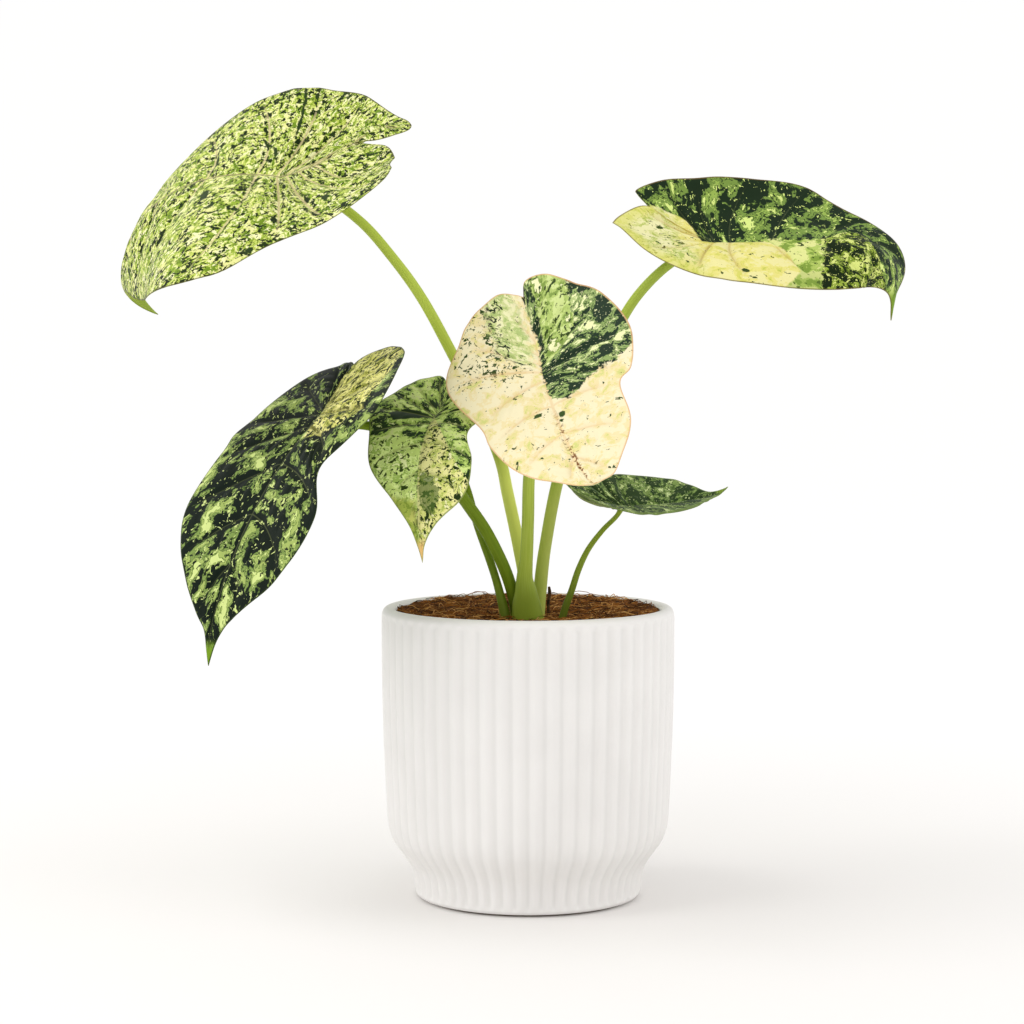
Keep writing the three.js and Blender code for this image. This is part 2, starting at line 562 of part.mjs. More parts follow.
// The coir fills the pot up to its dished surface, with a plain hole for each thing in it
function coirGeometry(buried) {
  const wallTop = POT_INSIDE.findIndex(([, radius]) => radius === POT_INNER_RADIUS) + 1;
  const walls = POT_INSIDE.slice(wallTop).reverse().map(([height, radius]) => (
    ring(height === POT_FLOOR_HEIGHT ? height + GAP : height, radius - COIR_CLEARANCE, RIB_COUNT)));
  const reach = POT_INNER_RADIUS - COIR_CLEARANCE;
  const topRings = COIR_RINGS.map(([part, count]) => (
    ring(0, part * reach, count, () => part * reach, coirHeight)));
  const body = toManifold(stackedRings([...walls, ...topRings]));
  const filled = buried.reduce((solid, piece) => solid.subtract(toManifold(piece)), body);
  return toGeometry(largestBody(filled));
}

function rootPaths() {
  const [centreX, centreY] = TUBER_CENTRE;
  return Array.from({ length: ROOT_COUNT }, (_, k) => {
    const angle = (2 * Math.PI * (k + ROOT_WANDER * Math.sin(5 * k))) / ROOT_COUNT;
    const bottom = ROOT_BOTTOM + ROOT_UNEVENNESS * Math.sin(3 * k);
    return ROOT_LINE.map(([out, height, radius]) => [
      centreX + out * ROOT_REACH * Math.cos(angle), centreY + out * ROOT_REACH * Math.sin(angle),
      height === ROOT_BOTTOM ? bottom : height, radius]);
  });
}

// The tuber with its roots, extra is the clearance its cavity in the coir needs
function rootstockGeometry(extra = 0) {
  const [centreX, centreY] = TUBER_CENTRE;
  const rings = [...TUBER].reverse().map(([height, radius], index) => {
    const level = index === 0 ? height - extra : height === CROWN_HEIGHT ? height + extra : height;
    return ring(level, radius + extra, TUBER_SIDES);
  });
  const tuber = stackedRings(rings).translate(centreX, centreY, 0);
  const roots = rootPaths().map((path) => toManifold(stemGeometry(path, ROOT_SIDES, extra, ROOT_STEP)));
  return toGeometry(roots.reduce((joined, root) => joined.add(root), toManifold(tuber)));
}

const plant = new THREE.Group();

function place(name, geometry, material) {
  const mesh = new THREE.Mesh(geometry, material);
  mesh.name = name;
  plant.add(mesh);
}

// A stem's path with its foot lowered by the clearance that a hole has under it
function deepened([[x, y, foot, ...radii], ...above]) {
  return [[x, y, foot - GAP, ...radii], ...above];
}

function petioleGeometry(name) {
  const blade = BLADES[name];
  const { path, sides } = PETIOLES[name];
  const endRadius = path[path.length - 1][3];
  const whole = toManifold(stemGeometry([...path, [...blade.seat, endRadius]], sides));
  const cleared = whole.subtract(toManifold(bladeGeometry(blade, GAP)));
  return toGeometry(largestBody(cleared));
}

place('pot', potGeometry(), GLAZE);
const holes = Object.values(PETIOLES).map(({ path, sides }) => stemGeometry(deepened(path), sides, GAP));
holes.push(stemGeometry(deepened(STUB_PATH), STUB_SIDES, GAP, STUB_STEP), rootstockGeometry(GAP));
place('coir', coirGeometry(holes), COIR);
place('rootstock', rootstockGeometry(), ROOT);
place('dried_stub', stemGeometry(STUB_PATH, STUB_SIDES, 0, STUB_STEP), DRY);
for (const name of Object.keys(BLADES)) {
  place(`petiole_${name}`, petioleGeometry(name), STEM);
  place(`leaf_${name}`, bladeGeometry(BLADES[name]),
    new THREE.MeshStandardMaterial({ color: BLADE_COLOURS[name], roughness: 0.45 }));
}

export default plant;
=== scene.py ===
"""The looks of a potted aroid: six marbled peltate leaves on curved stalks, coir and a ribbed pot.

Lengths are millimetres until a mesh is made. The axes are the frame's own: +X to the right, +Y away
from the camera, +Z up, with the origin under the middle of the pot.
"""

import math
from dataclasses import dataclass
from statistics import NormalDist

import bpy
import numpy as np
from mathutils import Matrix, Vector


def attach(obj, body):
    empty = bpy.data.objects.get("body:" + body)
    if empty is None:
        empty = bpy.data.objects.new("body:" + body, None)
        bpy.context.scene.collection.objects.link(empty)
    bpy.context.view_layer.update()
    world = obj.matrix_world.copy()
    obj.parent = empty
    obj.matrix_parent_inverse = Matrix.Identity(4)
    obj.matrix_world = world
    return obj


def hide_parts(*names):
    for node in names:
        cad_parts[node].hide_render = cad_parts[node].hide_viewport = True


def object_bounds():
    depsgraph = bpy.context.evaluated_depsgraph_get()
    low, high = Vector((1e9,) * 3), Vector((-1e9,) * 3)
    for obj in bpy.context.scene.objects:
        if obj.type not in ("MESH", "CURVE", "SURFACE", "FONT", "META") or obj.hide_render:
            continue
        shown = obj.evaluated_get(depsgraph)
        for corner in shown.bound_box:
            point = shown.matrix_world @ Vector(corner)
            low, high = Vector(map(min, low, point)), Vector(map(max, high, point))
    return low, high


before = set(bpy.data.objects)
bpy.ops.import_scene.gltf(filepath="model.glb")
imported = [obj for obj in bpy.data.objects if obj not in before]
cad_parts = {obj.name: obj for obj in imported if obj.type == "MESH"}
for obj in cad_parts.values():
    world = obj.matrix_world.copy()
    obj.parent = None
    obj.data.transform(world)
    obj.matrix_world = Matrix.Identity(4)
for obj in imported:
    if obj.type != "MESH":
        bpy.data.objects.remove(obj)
cad_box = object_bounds()

MM = 0.001
# Blades keep this far inside the CAD part's box
BOX_MARGIN = 0.02
# A length that is never nothing, for divisions
TINY = 1e-6
random = np.random.default_rng(11)

# Pot, from the foot up: heights and radii of the ribs' crests, and how far the ribs are raised
POT_HEIGHT = 140
POT_RIM_RADIUS = 70
POT_INNER_RADIUS = 63.7
POT_FLOOR_HEIGHT = 6
FOOT_RADIUS = 50
FOOT_HEIGHT = 1.3
# The first and the last ring of the pot and of the coir are closed by fans of this radius
FAN_RADIUS = 20
RIB_COUNT = 56
SIDES_PER_RIB = 14
RIB_DEPTH = 1.1
# The power of the cosine that makes the pot's valleys narrow and its ribs round
VALLEY_POWER = 2.4
POT_OUTSIDE = [
    (1.3, 53.0, 0), (2.6, 54.1, 0.2), (4.6, 54.5, 0.8), (8, 54.9, 1), (12, 55.5, 1), (15.5, 56.6, 1),
    (18.5, 58.2, 1), (21.5, 60.3, 1), (24.5, 62.5, 1), (28, 64.9, 1), (31.5, 66.4, 1), (36, 67.4, 1),
    (44, 68.0, 1), (60, 68.7, 1), (80, 69.5, 1), (100, 70.0, 1), (120, 70.2, 1), (131, 70.2, 1),
    (134.2, 70.2, 1), (136, 70.15, 0.6), (137.2, POT_RIM_RADIUS, 0),
]
POT_INSIDE = [
    (138.4, 69.6), (139.5, 68.6), (POT_HEIGHT, 67.4), (POT_HEIGHT, 66.2), (139.5, 64.9), (138.4, 64.0),
    (136.6, POT_INNER_RADIUS), (120, 63.4), (40, 61.4), (24, 56.0), (14, 49.8), (8, 48.4),
    (POT_FLOOR_HEIGHT, 46.5), (POT_FLOOR_HEIGHT, FAN_RADIUS),
]

# Coir: a shallow dish round the stems, higher at the back and at the wall, over a plain side of
# heights and radii
COIR_CENTRE_HEIGHT = 134.6
COIR_EDGE_RISE = 3.2
COIR_BACK_RISE = 1.9
COIR_LUMP = 0.5
COIR_GRAIN = 0.35
COIR_REACH = 63.2
COIR_WALL = [(6.3, FAN_RADIUS), (6.3, 45), (14, 49.3), (24, 55.5), (40, 61), (130, 63)]
COIR_SIDES = 300
COIR_RINGS = 90
COIR_LAST_RING = 0.02
# Fibres: for each measure the least value, what chance adds to it at most, and the power of chance
FIBRE_COUNT = 2600
FIBRE_STEPS = 5
FIBRE_LENGTH = (5, 16, 2)
FIBRE_RADIUS = (0.12, 0.16, 2)
FIBRE_RISE = (0.2, 2.4, 4)
FIBRE_BEND = 3.6
# How far fibres start and stay inside the coir's edge
FIBRE_START_GAP = 2
FIBRE_EDGE_GAP = 0.6

# Rows of a blade count the points of its outline from the notch to the tip, and its ribs leave the
# midrib at these parts of the way back to the notch and ahead to the tip
RIB_ROOTS_BEHIND = [1, 0.7, 0.42, 0.22, 0.08]
RIB_ROOTS_AHEAD = [0.01, 0.07, 0.24, 0.45, 0.64, 0.79, 1]
RIB_BOW = 0.035
BOWED_ROWS = (4, 6, 9.3, 10.5)
LOBE_BOWED_ROWS = (0, 1, 2, 4)
KEEL_ROWS = (0, 3, 4, 11)
NOTCH_RIB_ROW = 2
TIP_RIB_ROW = 9
TIP_FADE_ROW = 9.5
LAST_ROW = 11
STEPS_PER_ROW = 16
COLUMN_STEPS = 40
# The part of the columns' spacing that is drawn together at the midrib and at the margin
COLUMN_EASE = 0.45
# How far the midrib is worked out, in reaches of the lobes behind the seat and in lengths ahead
MIDRIB_BEHIND = 1.3
MIDRIB_AHEAD = 1.08
MIDRIB_STEPS = 240
HALF_WIDTH = 0.44
LOBE_REACH = 0.47
# The part of a blade's length over which its front_lift sets in
FRONT_FOLD = 0.6
# The curl that stands for none
NO_CURL = 1e-6
# Relief: thickness, height of the cushions for each unit of quilt, waves of the margin, grooves
# above the ribs, the ribs' own relief below, and the widths of midrib and keel
BLADE_THICKNESS = 0.9
PILLOW_HEIGHT = 2.1
CUSHION_POWER = 0.6
MARGIN_RIPPLE = 0.2
RIB_GROOVE = 0.16
MIDRIB_GROOVE = 0.3
RIB_RELIEF = 0.35
RIB_WIDTH_AT_MARGIN = 0.45
RIB_WIDTH_AT_MIDRIB = 1.05
MIDRIB_WIDTH = 1.5
KEEL_WIDTH = 1.6
# Normals are measured between places this far to both sides: on a blade, and at its seat
NORMAL_REACH = 0.4
SEAT_REACH = 0.5
# One unit of a blade's flat map, in millimetres
FLAT_MAP_UNIT = 100


@dataclass
class Half:
    """One side of a blade. It leaves the midrib at lift degrees, more by back_lift at the back of
    the lobes and by front_lift ahead, and turns by curl radians over half its width. lobe_bow
    bends the lobe's ribs outwards. The edge is its outline without the tip, in hundredths of the
    blade's length: towards the tip, then outwards."""
    lift: float
    curl: float
    edge: list
    back_lift: float = 0
    front_lift: float = 0
    lobe_bow: float = 0


@dataclass
class Blade:
    """A blade: its seat on the stalk, its direction in degrees, its length from the seat to the tip
    and how far its lobes are drawn out; by how many degrees the midrib droops, curls between
    curl_from and curl_to of its length, rises behind the seat, sweeps sideways and twists; then the
    keel's height, the strength of the quilting and the count of cross ribs between two ribs."""
    seat: tuple
    heading: float
    pitch: float
    roll: float
    length: float
    lobes: float
    droop: float
    tip_curl: float
    back_rise: float
    sweep: float
    twist: float
    keel: float
    quilt: float
    cross_ribs: int
    left: Half
    right: Half
    back_sweep: float = 0
    curl_from: float = 0.8
    curl_to: float = 1

    @property
    def back(self):
        """The reach of the lobes behind the seat."""
        return self.length * LOBE_REACH * self.lobes


BLADES = {
    "upper_left": Blade(
        seat=(-117, -11, 344), heading=163, pitch=9, roll=-32.7, length=168.5, lobes=0.89, droop=95,
        tip_curl=61, back_rise=36, sweep=-11.3, back_sweep=18.2, twist=-19, keel=1.3, quilt=1.1,
        cross_ribs=7,
        left=Half(13.2, -0.39, [(-23, -15), (-37, -7), (-42, 12), (-44, 26), (-28, 35), (-14, 39), (6, 55),
            (45, 34), (63, 23), (78, 9), (89, 2)], back_lift=1.3, front_lift=-27),
        right=Half(8.4, 0, [(-23, 15), (-38, 12), (-46, 11), (-42, 19), (-21, 37), (3, 41), (22, 37),
            (40, 30), (62, 21), (80, 11), (92, 6)], back_lift=5, front_lift=-15.5, lobe_bow=0.09)),
    "upper_right": Blade(
        seat=(87.8, -2.8, 313.6), heading=0.5, pitch=-0.5, roll=4.5, length=117.5, lobes=0.89, droop=-8.6,
        tip_curl=103, curl_from=0.49, curl_to=0.93, back_rise=21.6, sweep=5.6, twist=4.2, keel=1.3,
        quilt=1.0, cross_ribs=5,
        left=Half(33, 0.93, [(-5, 2), (-14.5, 12.5), (-29.5, 18), (-41, 21.5), (-28, 29.5), (-8, 32.5),
            (18, 34), (44, 36), (63, 21.5), (82, 20.5), (91.5, 7)], back_lift=-1.3, front_lift=-27),
        right=Half(-4.8, -0.59, [(-5, -2), (-17, -13), (-36.5, -15), (-47, 3), (-34, 29), (-8.5, 36.5),
            (12.5, 38.5), (42, 33.5), (65, 29), (79, 25), (89, 6)], back_lift=8.7, front_lift=-18)),
    "centre": Blade(
        seat=(6.5, -62, 253.5), heading=-75, pitch=-46, roll=25, length=95, lobes=1.26, droop=-21,
        tip_curl=-34, back_rise=11, sweep=15, twist=-3, keel=1.1, quilt=0.7, cross_ribs=5,
        left=Half(7, 0.05, [(-37, 0), (-44, 3), (-44, 14), (-36, 26), (-26, 38), (-4, 47), (21, 42),
            (29, 34), (59, 31), (88, 13), (93, 5)], back_lift=-6),
        right=Half(4, -0.29, [(-37, 0), (-39, 3), (-42, 13), (-36, 29), (-27, 37), (-9, 48), (21, 36),
            (36, 34), (62, 25), (84, 8), (90, 4)], back_lift=-7)),
    "lower_left": Blade(
        seat=(-96, -40, 233.5), heading=-140, pitch=-41, roll=6, length=132, lobes=0.77, droop=37,
        tip_curl=11, back_rise=-3, sweep=-4, twist=-18, keel=1.3, quilt=1.1, cross_ribs=6,
        left=Half(6, 0, [(-23, -5.5), (-40, -10), (-46.5, 4), (-41, 19), (-26, 31), (5, 47), (26, 30),
            (45, 40), (66, 30), (82, 11), (89, 5)], back_lift=-3),
        right=Half(0, 0.02, [(-23, 5.5), (-34.5, 9.5), (-38.5, 14.5), (-37.5, 21), (-28, 38), (3, 47),
            (23, 42), (47, 38), (64, 27), (82, 10), (89, 3)], back_lift=-1)),
    "small_left": Blade(
        seat=(-43.5, -40, 231.5), heading=-108, pitch=-28, roll=13, length=78, lobes=1.04, droop=68,
        tip_curl=-26, back_rise=5, sweep=-1, twist=-2, keel=0.7, quilt=0.6, cross_ribs=4,
        left=Half(5, -0.43, [(-28, 0), (-36, 3), (-46, 12), (-42, 25), (-27, 35), (-7, 43), (19, 28),
            (42, 33), (64, 29), (79, 10), (89, 2)]),
        right=Half(18, -0.08, [(-28, 0), (-37, 3), (-46, 11), (-40, 26), (-27, 34), (-8, 42), (18, 35),
            (41, 30), (61, 16), (76, 7), (89, 3)], back_lift=-4)),
    "small_right": Blade(
        seat=(44, -31, 190), heading=25, pitch=-2, roll=9, length=58, lobes=1.07, droop=-14, tip_curl=-25,
        back_rise=27, sweep=4, twist=0, keel=0.4, quilt=0.45, cross_ribs=3,
        left=Half(26, -0.08, [(-22, 0), (-36, 3), (-50, 12), (-43, 26), (-27, 35), (-5, 43), (16, 44),
            (44, 38), (65, 28), (81, 9), (90, 4)]),
        right=Half(14, -0.38, [(-22, 0), (-37, 3), (-52, 11), (-43, 26), (-27, 35), (-4, 42), (16, 42),
            (42, 35), (63, 23), (81, 9), (90, 4)], back_lift=-2)),
}

# Petioles from the crown up to the blade: places and the radius across, then, where the stalk is
# flattened, the radius from front to back
PETIOLE_FOOT = 117.3
PETIOLES = {
    "upper_left": [
        (-1.5, 7.5, PETIOLE_FOOT, 3.4), (-1.5, 7.5, 136, 3.3), (-1.6, 6, 152, 3.1), (-4.6, 5.5, 169, 3),
        (-9.9, 5, 194.5, 2.9), (-13, 4.5, 209, 2.8), (-24.5, 4.5, 237, 2.7), (-37.5, 4, 263, 2.6),
        (-51.5, 3, 288.5, 2.5), (-64.5, 2, 306.5, 2.4), (-79.5, 1, 323.5, 2.3), (-98, 1, 336.5, 2.2),
        (-111, -4, 340, 2.2)],
    "upper_right": [
        (4.8, 1.5, PETIOLE_FOOT, 3.3), (4.8, 1.5, 136, 3.3), (5.8, 1, 148.6, 3.2), (7.2, 0, 162, 3),
        (8.5, -1, 170.5, 2.9), (13.9, -4, 199, 2.8), (20.5, -4.5, 220, 2.7), (30, -5, 245, 2.6),
        (45, -6, 278, 2.4), (54, -6, 291, 2.3), (66, -5, 302.5, 2.2), (79, -3, 310, 2.1)],
    "centre": [
        (0, -9, PETIOLE_FOOT, 7.4, 5), (-0.1, -9, 134, 7.7, 5.2), (-0.9, -9.5, 142, 6.7, 4.7),
        (-1.2, -10, 148, 5.3, 4.1), (-1.7, -10.5, 154.5, 3.9, 3.6), (-0.9, -12.5, 163, 3.1),
        (0, -20, 183, 2.9), (0.5, -27, 203, 2.8), (3, -38, 226, 2.6), (6, -53, 247, 2.3)],
    "lower_left": [
        (-5, -0.5, PETIOLE_FOOT, 3.2), (-5, -0.5, 133, 3.1), (-6.6, -3.5, 143.5, 3), (-9.2, -6.5, 153, 2.9),
        (-12.4, -9, 161.5, 2.9), (-20, -12, 177, 2.9), (-26.5, -15, 187, 2.9), (-34, -18, 197.5, 2.8),
        (-43.5, -22, 209.5, 2.7), (-56, -27, 220, 2.4), (-72, -31, 227, 2.2), (-88, -36, 229.5, 2.1)],
    "small_left": [
        (-11, -6.5, PETIOLE_FOOT, 2.5), (-11, -6.5, 136, 2.6), (-13.2, -6, 145.5, 2.1),
        (-15.4, -4.3, 153.5, 1.9), (-18, -3.5, 161.5, 1.9), (-21.3, -3, 170.5, 1.8),
        (-24.5, -3.5, 180, 1.8), (-28.5, -7, 195.5, 1.7), (-34, -14, 211, 1.6), (-41, -31, 226, 1.5)],
    "small_right": [
        (13, -8, PETIOLE_FOOT, 1.8), (13.3, -8, 121, 1.8), (17.3, -8, 138.5, 1.8), (20.8, -9, 148.5, 1.6),
        (24, -10, 158.5, 1.5), (28.5, -12, 168.2, 1.35), (35.2, -17, 177.7, 1.2), (41.9, -26, 185.5, 1.1)],
}
STUB_PATH = [
    (10, 4, 122, 0.9), (10, 4, 134, 0.8), (9.8, 4, 142, 0.7), (10.4, 4, 146, 0.9), (10.1, 4, 149, 0.6)]
STUB_STEP = 1
STUB_SIDES = 14
STALK_SIDES = 28
STALK_STEP = 2
# How far below its blade a stalk widens, and by which part
FLARE_LENGTH = 7
FLARE = 0.35

# Camera, fitted to the ellipses of the pot's rim and foot
CAMERA_DISTANCE = 1300
CAMERA_HEIGHT = 273
CAMERA_YAW = -0.0059
CAMERA_PITCH = 0.0674
CAMERA_FOCAL_PIXELS = 2721
IMAGE_PIXELS = 1024
SENSOR_WIDTH = 36

# Floor, and the distances from the foot of the pot, in metres, where its glow sets in and is full
FLOOR_RADIUS = 1600
FLOOR_SWEEP = 900
WALL_TOP = 3600
FLOOR_SIDES = 96
GLOW_FROM = 0.08
GLOW_FULL = 0.74
WORLD_STRENGTH = 0.74
# Lamps: place, target, width and height in metres, then the power in watts
LAMPS = {
    "key": ((-0.9, -0.3, 1.7), (0, 0, 0.2), (1.2, 1.2), 11),
    "fill": ((1.6, -0.5, 0.9), (0, 0, 0.2), (1.4, 1.4), 5.5),
    "low_fill": ((-1.9, -0.7, 0.35), (0, 0, 0.08), (1.4, 0.6), 7),
}


# Shapes

def smooth(value):
    """The S-shaped step 3v² - 2v³ between 0 and 1, held at its ends."""
    value = np.clip(value, 0, 1)
    return value * value * (3 - 2 * value)


def hump(value, rows):
    """Rises smoothly between the first two values of rows and falls between the last two."""
    begin, full, fading, end = rows
    return smooth((value - begin) / (full - begin)) * (1 - smooth((value - fading) / (end - fading)))


def ridge(distance, width):
    """A bell curve over the distance from a line, 1 on the line."""
    return np.exp(-((distance / width) ** 2))


def unit(vectors):
    """Vectors along the last axis, each divided by its own length."""
    return vectors / np.maximum(np.linalg.norm(vectors, axis=-1, keepdims=True), TINY)


def turn_angles(sides, start=0):
    """Equal steps of angle once round, from the start."""
    return 2 * np.pi * np.arange(sides) / sides + start


def through(points, parameter):
    """Uniform Catmull-Rom curve through points, its parameter counted in points: each stretch is
    the cubic whose slope at a point is half the step between that point's two neighbours."""
    points = np.asarray(points, float)
    padded = np.vstack([2 * points[0] - points[1], points, 2 * points[-1] - points[-2]])
    start = np.clip(np.floor(parameter).astype(int), 0, len(points) - 2)
    step = (parameter - start)[..., None]
    a, b, c, d = (padded[start + k] for k in range(4))
    return 0.5 * (2 * b + (c - a) * step + (2 * a - 5 * b + 4 * c - d) * step**2
                  + (3 * b - a - 3 * c + d) * step**3)


def midrib_frames(blade):
    """Returns a function from the distance along the midrib to its place, sideways direction and
    upward direction. The tangent bends down by droop per length and by the tip's curl, rises
    behind the seat, and turns sideways by sweep; the place is the running sum of tangents."""
    along = np.linspace(-MIDRIB_BEHIND * blade.back, MIDRIB_AHEAD * blade.length, MIDRIB_STEPS + 1)
    ahead = np.maximum(along / blade.length, 0)
    behind = np.maximum(-along / blade.back, 0)
    tip = smooth((ahead - blade.curl_from) / (blade.curl_to - blade.curl_from))
    bend = np.radians(np.where(
        along < 0, -blade.back_rise * behind, -blade.droop * ahead - blade.tip_curl * tip))
    turn = np.radians(np.where(along < 0, blade.back_sweep * behind, blade.sweep * ahead))
    twist = np.radians(blade.twist * ahead)[:, None]
    tangent = np.stack([np.cos(bend) * np.cos(turn), np.sin(turn), np.sin(bend) * np.cos(turn)], 1)
    side = unit(np.array([0, 1, 0]) - tangent * tangent[:, 1:2])
    up = np.cross(tangent, side)
    place = np.cumsum(tangent * (along[1] - along[0]), axis=0)
    turned_side = side * np.cos(twist) + up * np.sin(twist)
    turned_up = up * np.cos(twist) - side * np.sin(twist)

    def read(where, values):
        return np.stack([np.interp(where, along, column) for column in values.T], -1)

    def at(where):
        return read(where, place) - read(0, place), read(where, turned_side), read(where, turned_up)

    return at


def blade_surface(blade):
    """Returns a function from flat places (x towards the tip, y to the left) to points in space.
    Off the midrib the blade leaves at its side's lift and curls by the same angle for every
    millimetre, which is an arc; the midrib's frame, then the blade's heading, pitch and roll,
    carry that arc to its place."""
    frames = midrib_frames(blade)
    heading, pitch, roll = (math.radians(angle) for angle in (blade.heading, blade.pitch, blade.roll))
    forward = np.array([math.cos(heading) * math.cos(pitch), math.sin(heading) * math.cos(pitch),
                        math.sin(pitch)])
    level = np.array([-math.sin(heading), math.cos(heading), 0])
    normal = np.cross(forward, level)
    leftward = level * math.cos(roll) + normal * math.sin(roll)
    upward = normal * math.cos(roll) - level * math.sin(roll)

    def at(x, y):
        is_left = y >= 0

        def pick(key):
            return np.where(is_left, getattr(blade.left, key), getattr(blade.right, key))
        lift = np.radians(pick("lift") + pick("back_lift") * smooth(-x / blade.back)
                          + pick("front_lift") * smooth(x / (FRONT_FOLD * blade.length)))
        curl = np.where(pick("curl") == 0, NO_CURL, pick("curl")) / (HALF_WIDTH * blade.length)
        out = np.abs(y)
        sideways = (np.sin(lift + curl * out) - np.sin(lift)) / curl
        above = (np.cos(lift) - np.cos(lift + curl * out)) / curl
        place, side, up = frames(x)
        local = place + side * np.where(is_left, sideways, -sideways)[..., None] + up * above[..., None]
        return np.array(blade.seat) + local @ np.stack([forward, leftward, upward])

    return at


def normal_at(surface, x, y, reach):
    """The surface's unit normal: the cross product of a step ahead and a step to the left."""
    ahead = surface(x + reach, y) - surface(x - reach, y)
    return unit(np.cross(ahead, surface(x, y + reach) - surface(x, y - reach)))


def flat_places(blade, sign, row, column):
    """Flat places of a blade's half: row counts the outline points from the notch to the tip,
    column runs along that row's rib from the midrib (0) to the margin (1), and ribs bow back by
    a parabola in column."""
    side = blade.left if sign > 0 else blade.right
    edge = np.array([*side.edge, (100, 0)]) / 100
    notch_x, notch_y = edge[0]
    roots = [(part * notch_x,) for part in RIB_ROOTS_BEHIND] + [(part,) for part in RIB_ROOTS_AHEAD]
    margin = through(edge, row)
    root_x = through(roots, row)[..., 0]
    root_y = np.where(root_x < 0, notch_y * root_x / notch_x, 0)
    arch = 4 * column * (1 - column)
    bow = RIB_BOW * arch * hump(row, BOWED_ROWS)
    lobe_bow = side.lobe_bow * arch * hump(row, LOBE_BOWED_ROWS)
    x = root_x + (margin[..., 0] - root_x) * column - bow
    y = root_y + (margin[..., 1] - root_y) * column + lobe_bow
    return np.where(x < 0, x * blade.lobes, x) * blade.length, y * blade.length * sign


def swelling(blade, row, column):
    """How far the blade rises between its ribs: a power of |sin| of the place between two ribs, so
    each rib is a narrow valley, times a fade along the rib; smaller cushions of the same kind lie
    between the cross ribs that join two ribs in a chevron."""
    past_tip = (row - TIP_RIB_ROW) / (LAST_ROW - TIP_RIB_ROW)
    phase = np.where(row < NOTCH_RIB_ROW, row / NOTCH_RIB_ROW, np.where(past_tip > 0, past_tip, row % 1))
    between = np.abs(np.sin(np.pi * phase))
    fade = smooth(column / 0.3) * smooth((1 - column) / 0.35) * (1 - smooth(past_tip))
    cushions = np.abs(np.sin(np.pi * (blade.cross_ribs * column + 0.5 * np.abs(2 * phase - 1))))
    pillow = between**CUSHION_POWER - 0.75 + 0.3 * between * (cushions**0.7 - 0.7)
    return fade * blade.quilt * PILLOW_HEIGHT * pillow


def polygon_depth(outline, x, y):
    """How deep places lie inside a closed outline: their distance to its nearest edge, negative
    outside, where a place is inside if a ray from it crosses the outline an odd number of times."""
    corners = np.array(outline) / 100
    nearest = np.full(x.shape, np.inf)
    inside = np.zeros(x.shape, bool)
    for (ax, ay), (bx, by) in zip(corners, np.roll(corners, -1, axis=0)):
        along = ((x - ax) * (bx - ax) + (y - ay) * (by - ay)) / ((bx - ax) ** 2 + (by - ay) ** 2)
        along = np.clip(along, 0, 1)
        nearest = np.minimum(nearest, np.hypot(x - ax - along * (bx - ax), y - ay - along * (by - ay)))
        if ay != by:
            inside ^= (y > min(ay, by)) & (y <= max(ay, by)) & (x < ax + (y - ay) * (bx - ax) / (by - ay))
    return np.where(inside, nearest, -nearest)


def held_in_box(points):
    """Points in millimetres, each coordinate held between the sides of the CAD part's own box."""
    low, high = np.array(cad_box) / MM
    return np.clip(points, low + BOX_MARGIN, high - BOX_MARGIN)


def make_mesh(name, points, triangles, fields=None, maps=None):
    """A mesh from points in millimetres and triangles, without those that have lost a corner.
    fields are numbers kept at each point, maps are pairs kept at each corner."""
    a, b, c = triangles.T
    triangles = triangles[(a != b) & (b != c) & (c != a)]
    used, renumbered = np.unique(triangles, return_inverse=True)
    triangles = renumbered.reshape(triangles.shape)
    mesh = bpy.data.meshes.new(name)
    mesh.vertices.add(len(used))
    mesh.vertices.foreach_set("co", (points[used] * MM).ravel())
    mesh.loops.add(triangles.size)
    mesh.loops.foreach_set("vertex_index", triangles.ravel().astype(np.int32))
    mesh.polygons.add(len(triangles))
    mesh.polygons.foreach_set("loop_start", np.arange(0, triangles.size, 3, dtype=np.int32))
    mesh.update(calc_edges=True)
    for key, values in (fields or {}).items():
        field = mesh.attributes.new(key, "FLOAT", "POINT")
        field.data.foreach_set("value", values[used].astype(np.float32))
    for key, pairs in (maps or {}).items():
        corners = mesh.uv_layers.new(name=key)
        corners.data.foreach_set("uv", pairs[used][triangles.ravel()].astype(np.float32).ravel())
    mesh.shade_smooth()
    piece = bpy.data.objects.new(name, mesh)
    bpy.context.scene.collection.objects.link(piece)
    return piece


def strip_triangles(index, closed=False):
    """Two triangles for each cell of a grid of point numbers, or of a row of grids, with the grid's
    last way closed into a ring where asked."""
    following = np.roll(index, -1, axis=-1) if closed else index[..., 1:]
    current = index if closed else index[..., :-1]
    a, b = current[..., :-1, :], following[..., :-1, :]
    c, d = following[..., 1:, :], current[..., 1:, :]
    return np.concatenate([np.stack(corners, -1).reshape(-1, 3) for corners in ((a, b, c), (a, c, d))])


def closed_tube(name, points, fields):
    """A tube of rings of points whose ends are closed by fans round the middle of the first and the
    last ring. Fields are grids like the rings; a fan's middle has its ring's mean."""
    def with_ends(values):
        return np.concatenate([values.reshape(-1, *values.shape[2:]), values[[0, -1]].mean(1)])
    index = np.arange(points[..., 0].size).reshape(points.shape[:2])
    following = np.roll(index, -1, axis=1)
    foot, head = (np.full(index.shape[1], index.size + k) for k in range(2))
    triangles = np.concatenate([
        strip_triangles(index, closed=True), np.stack([foot, following[0], index[0]], 1),
        np.stack([head, index[-1], following[-1]], 1)])
    fields = {key: with_ends(values) for key, values in fields.items()}
    return make_mesh(name, with_ends(points), triangles, fields)


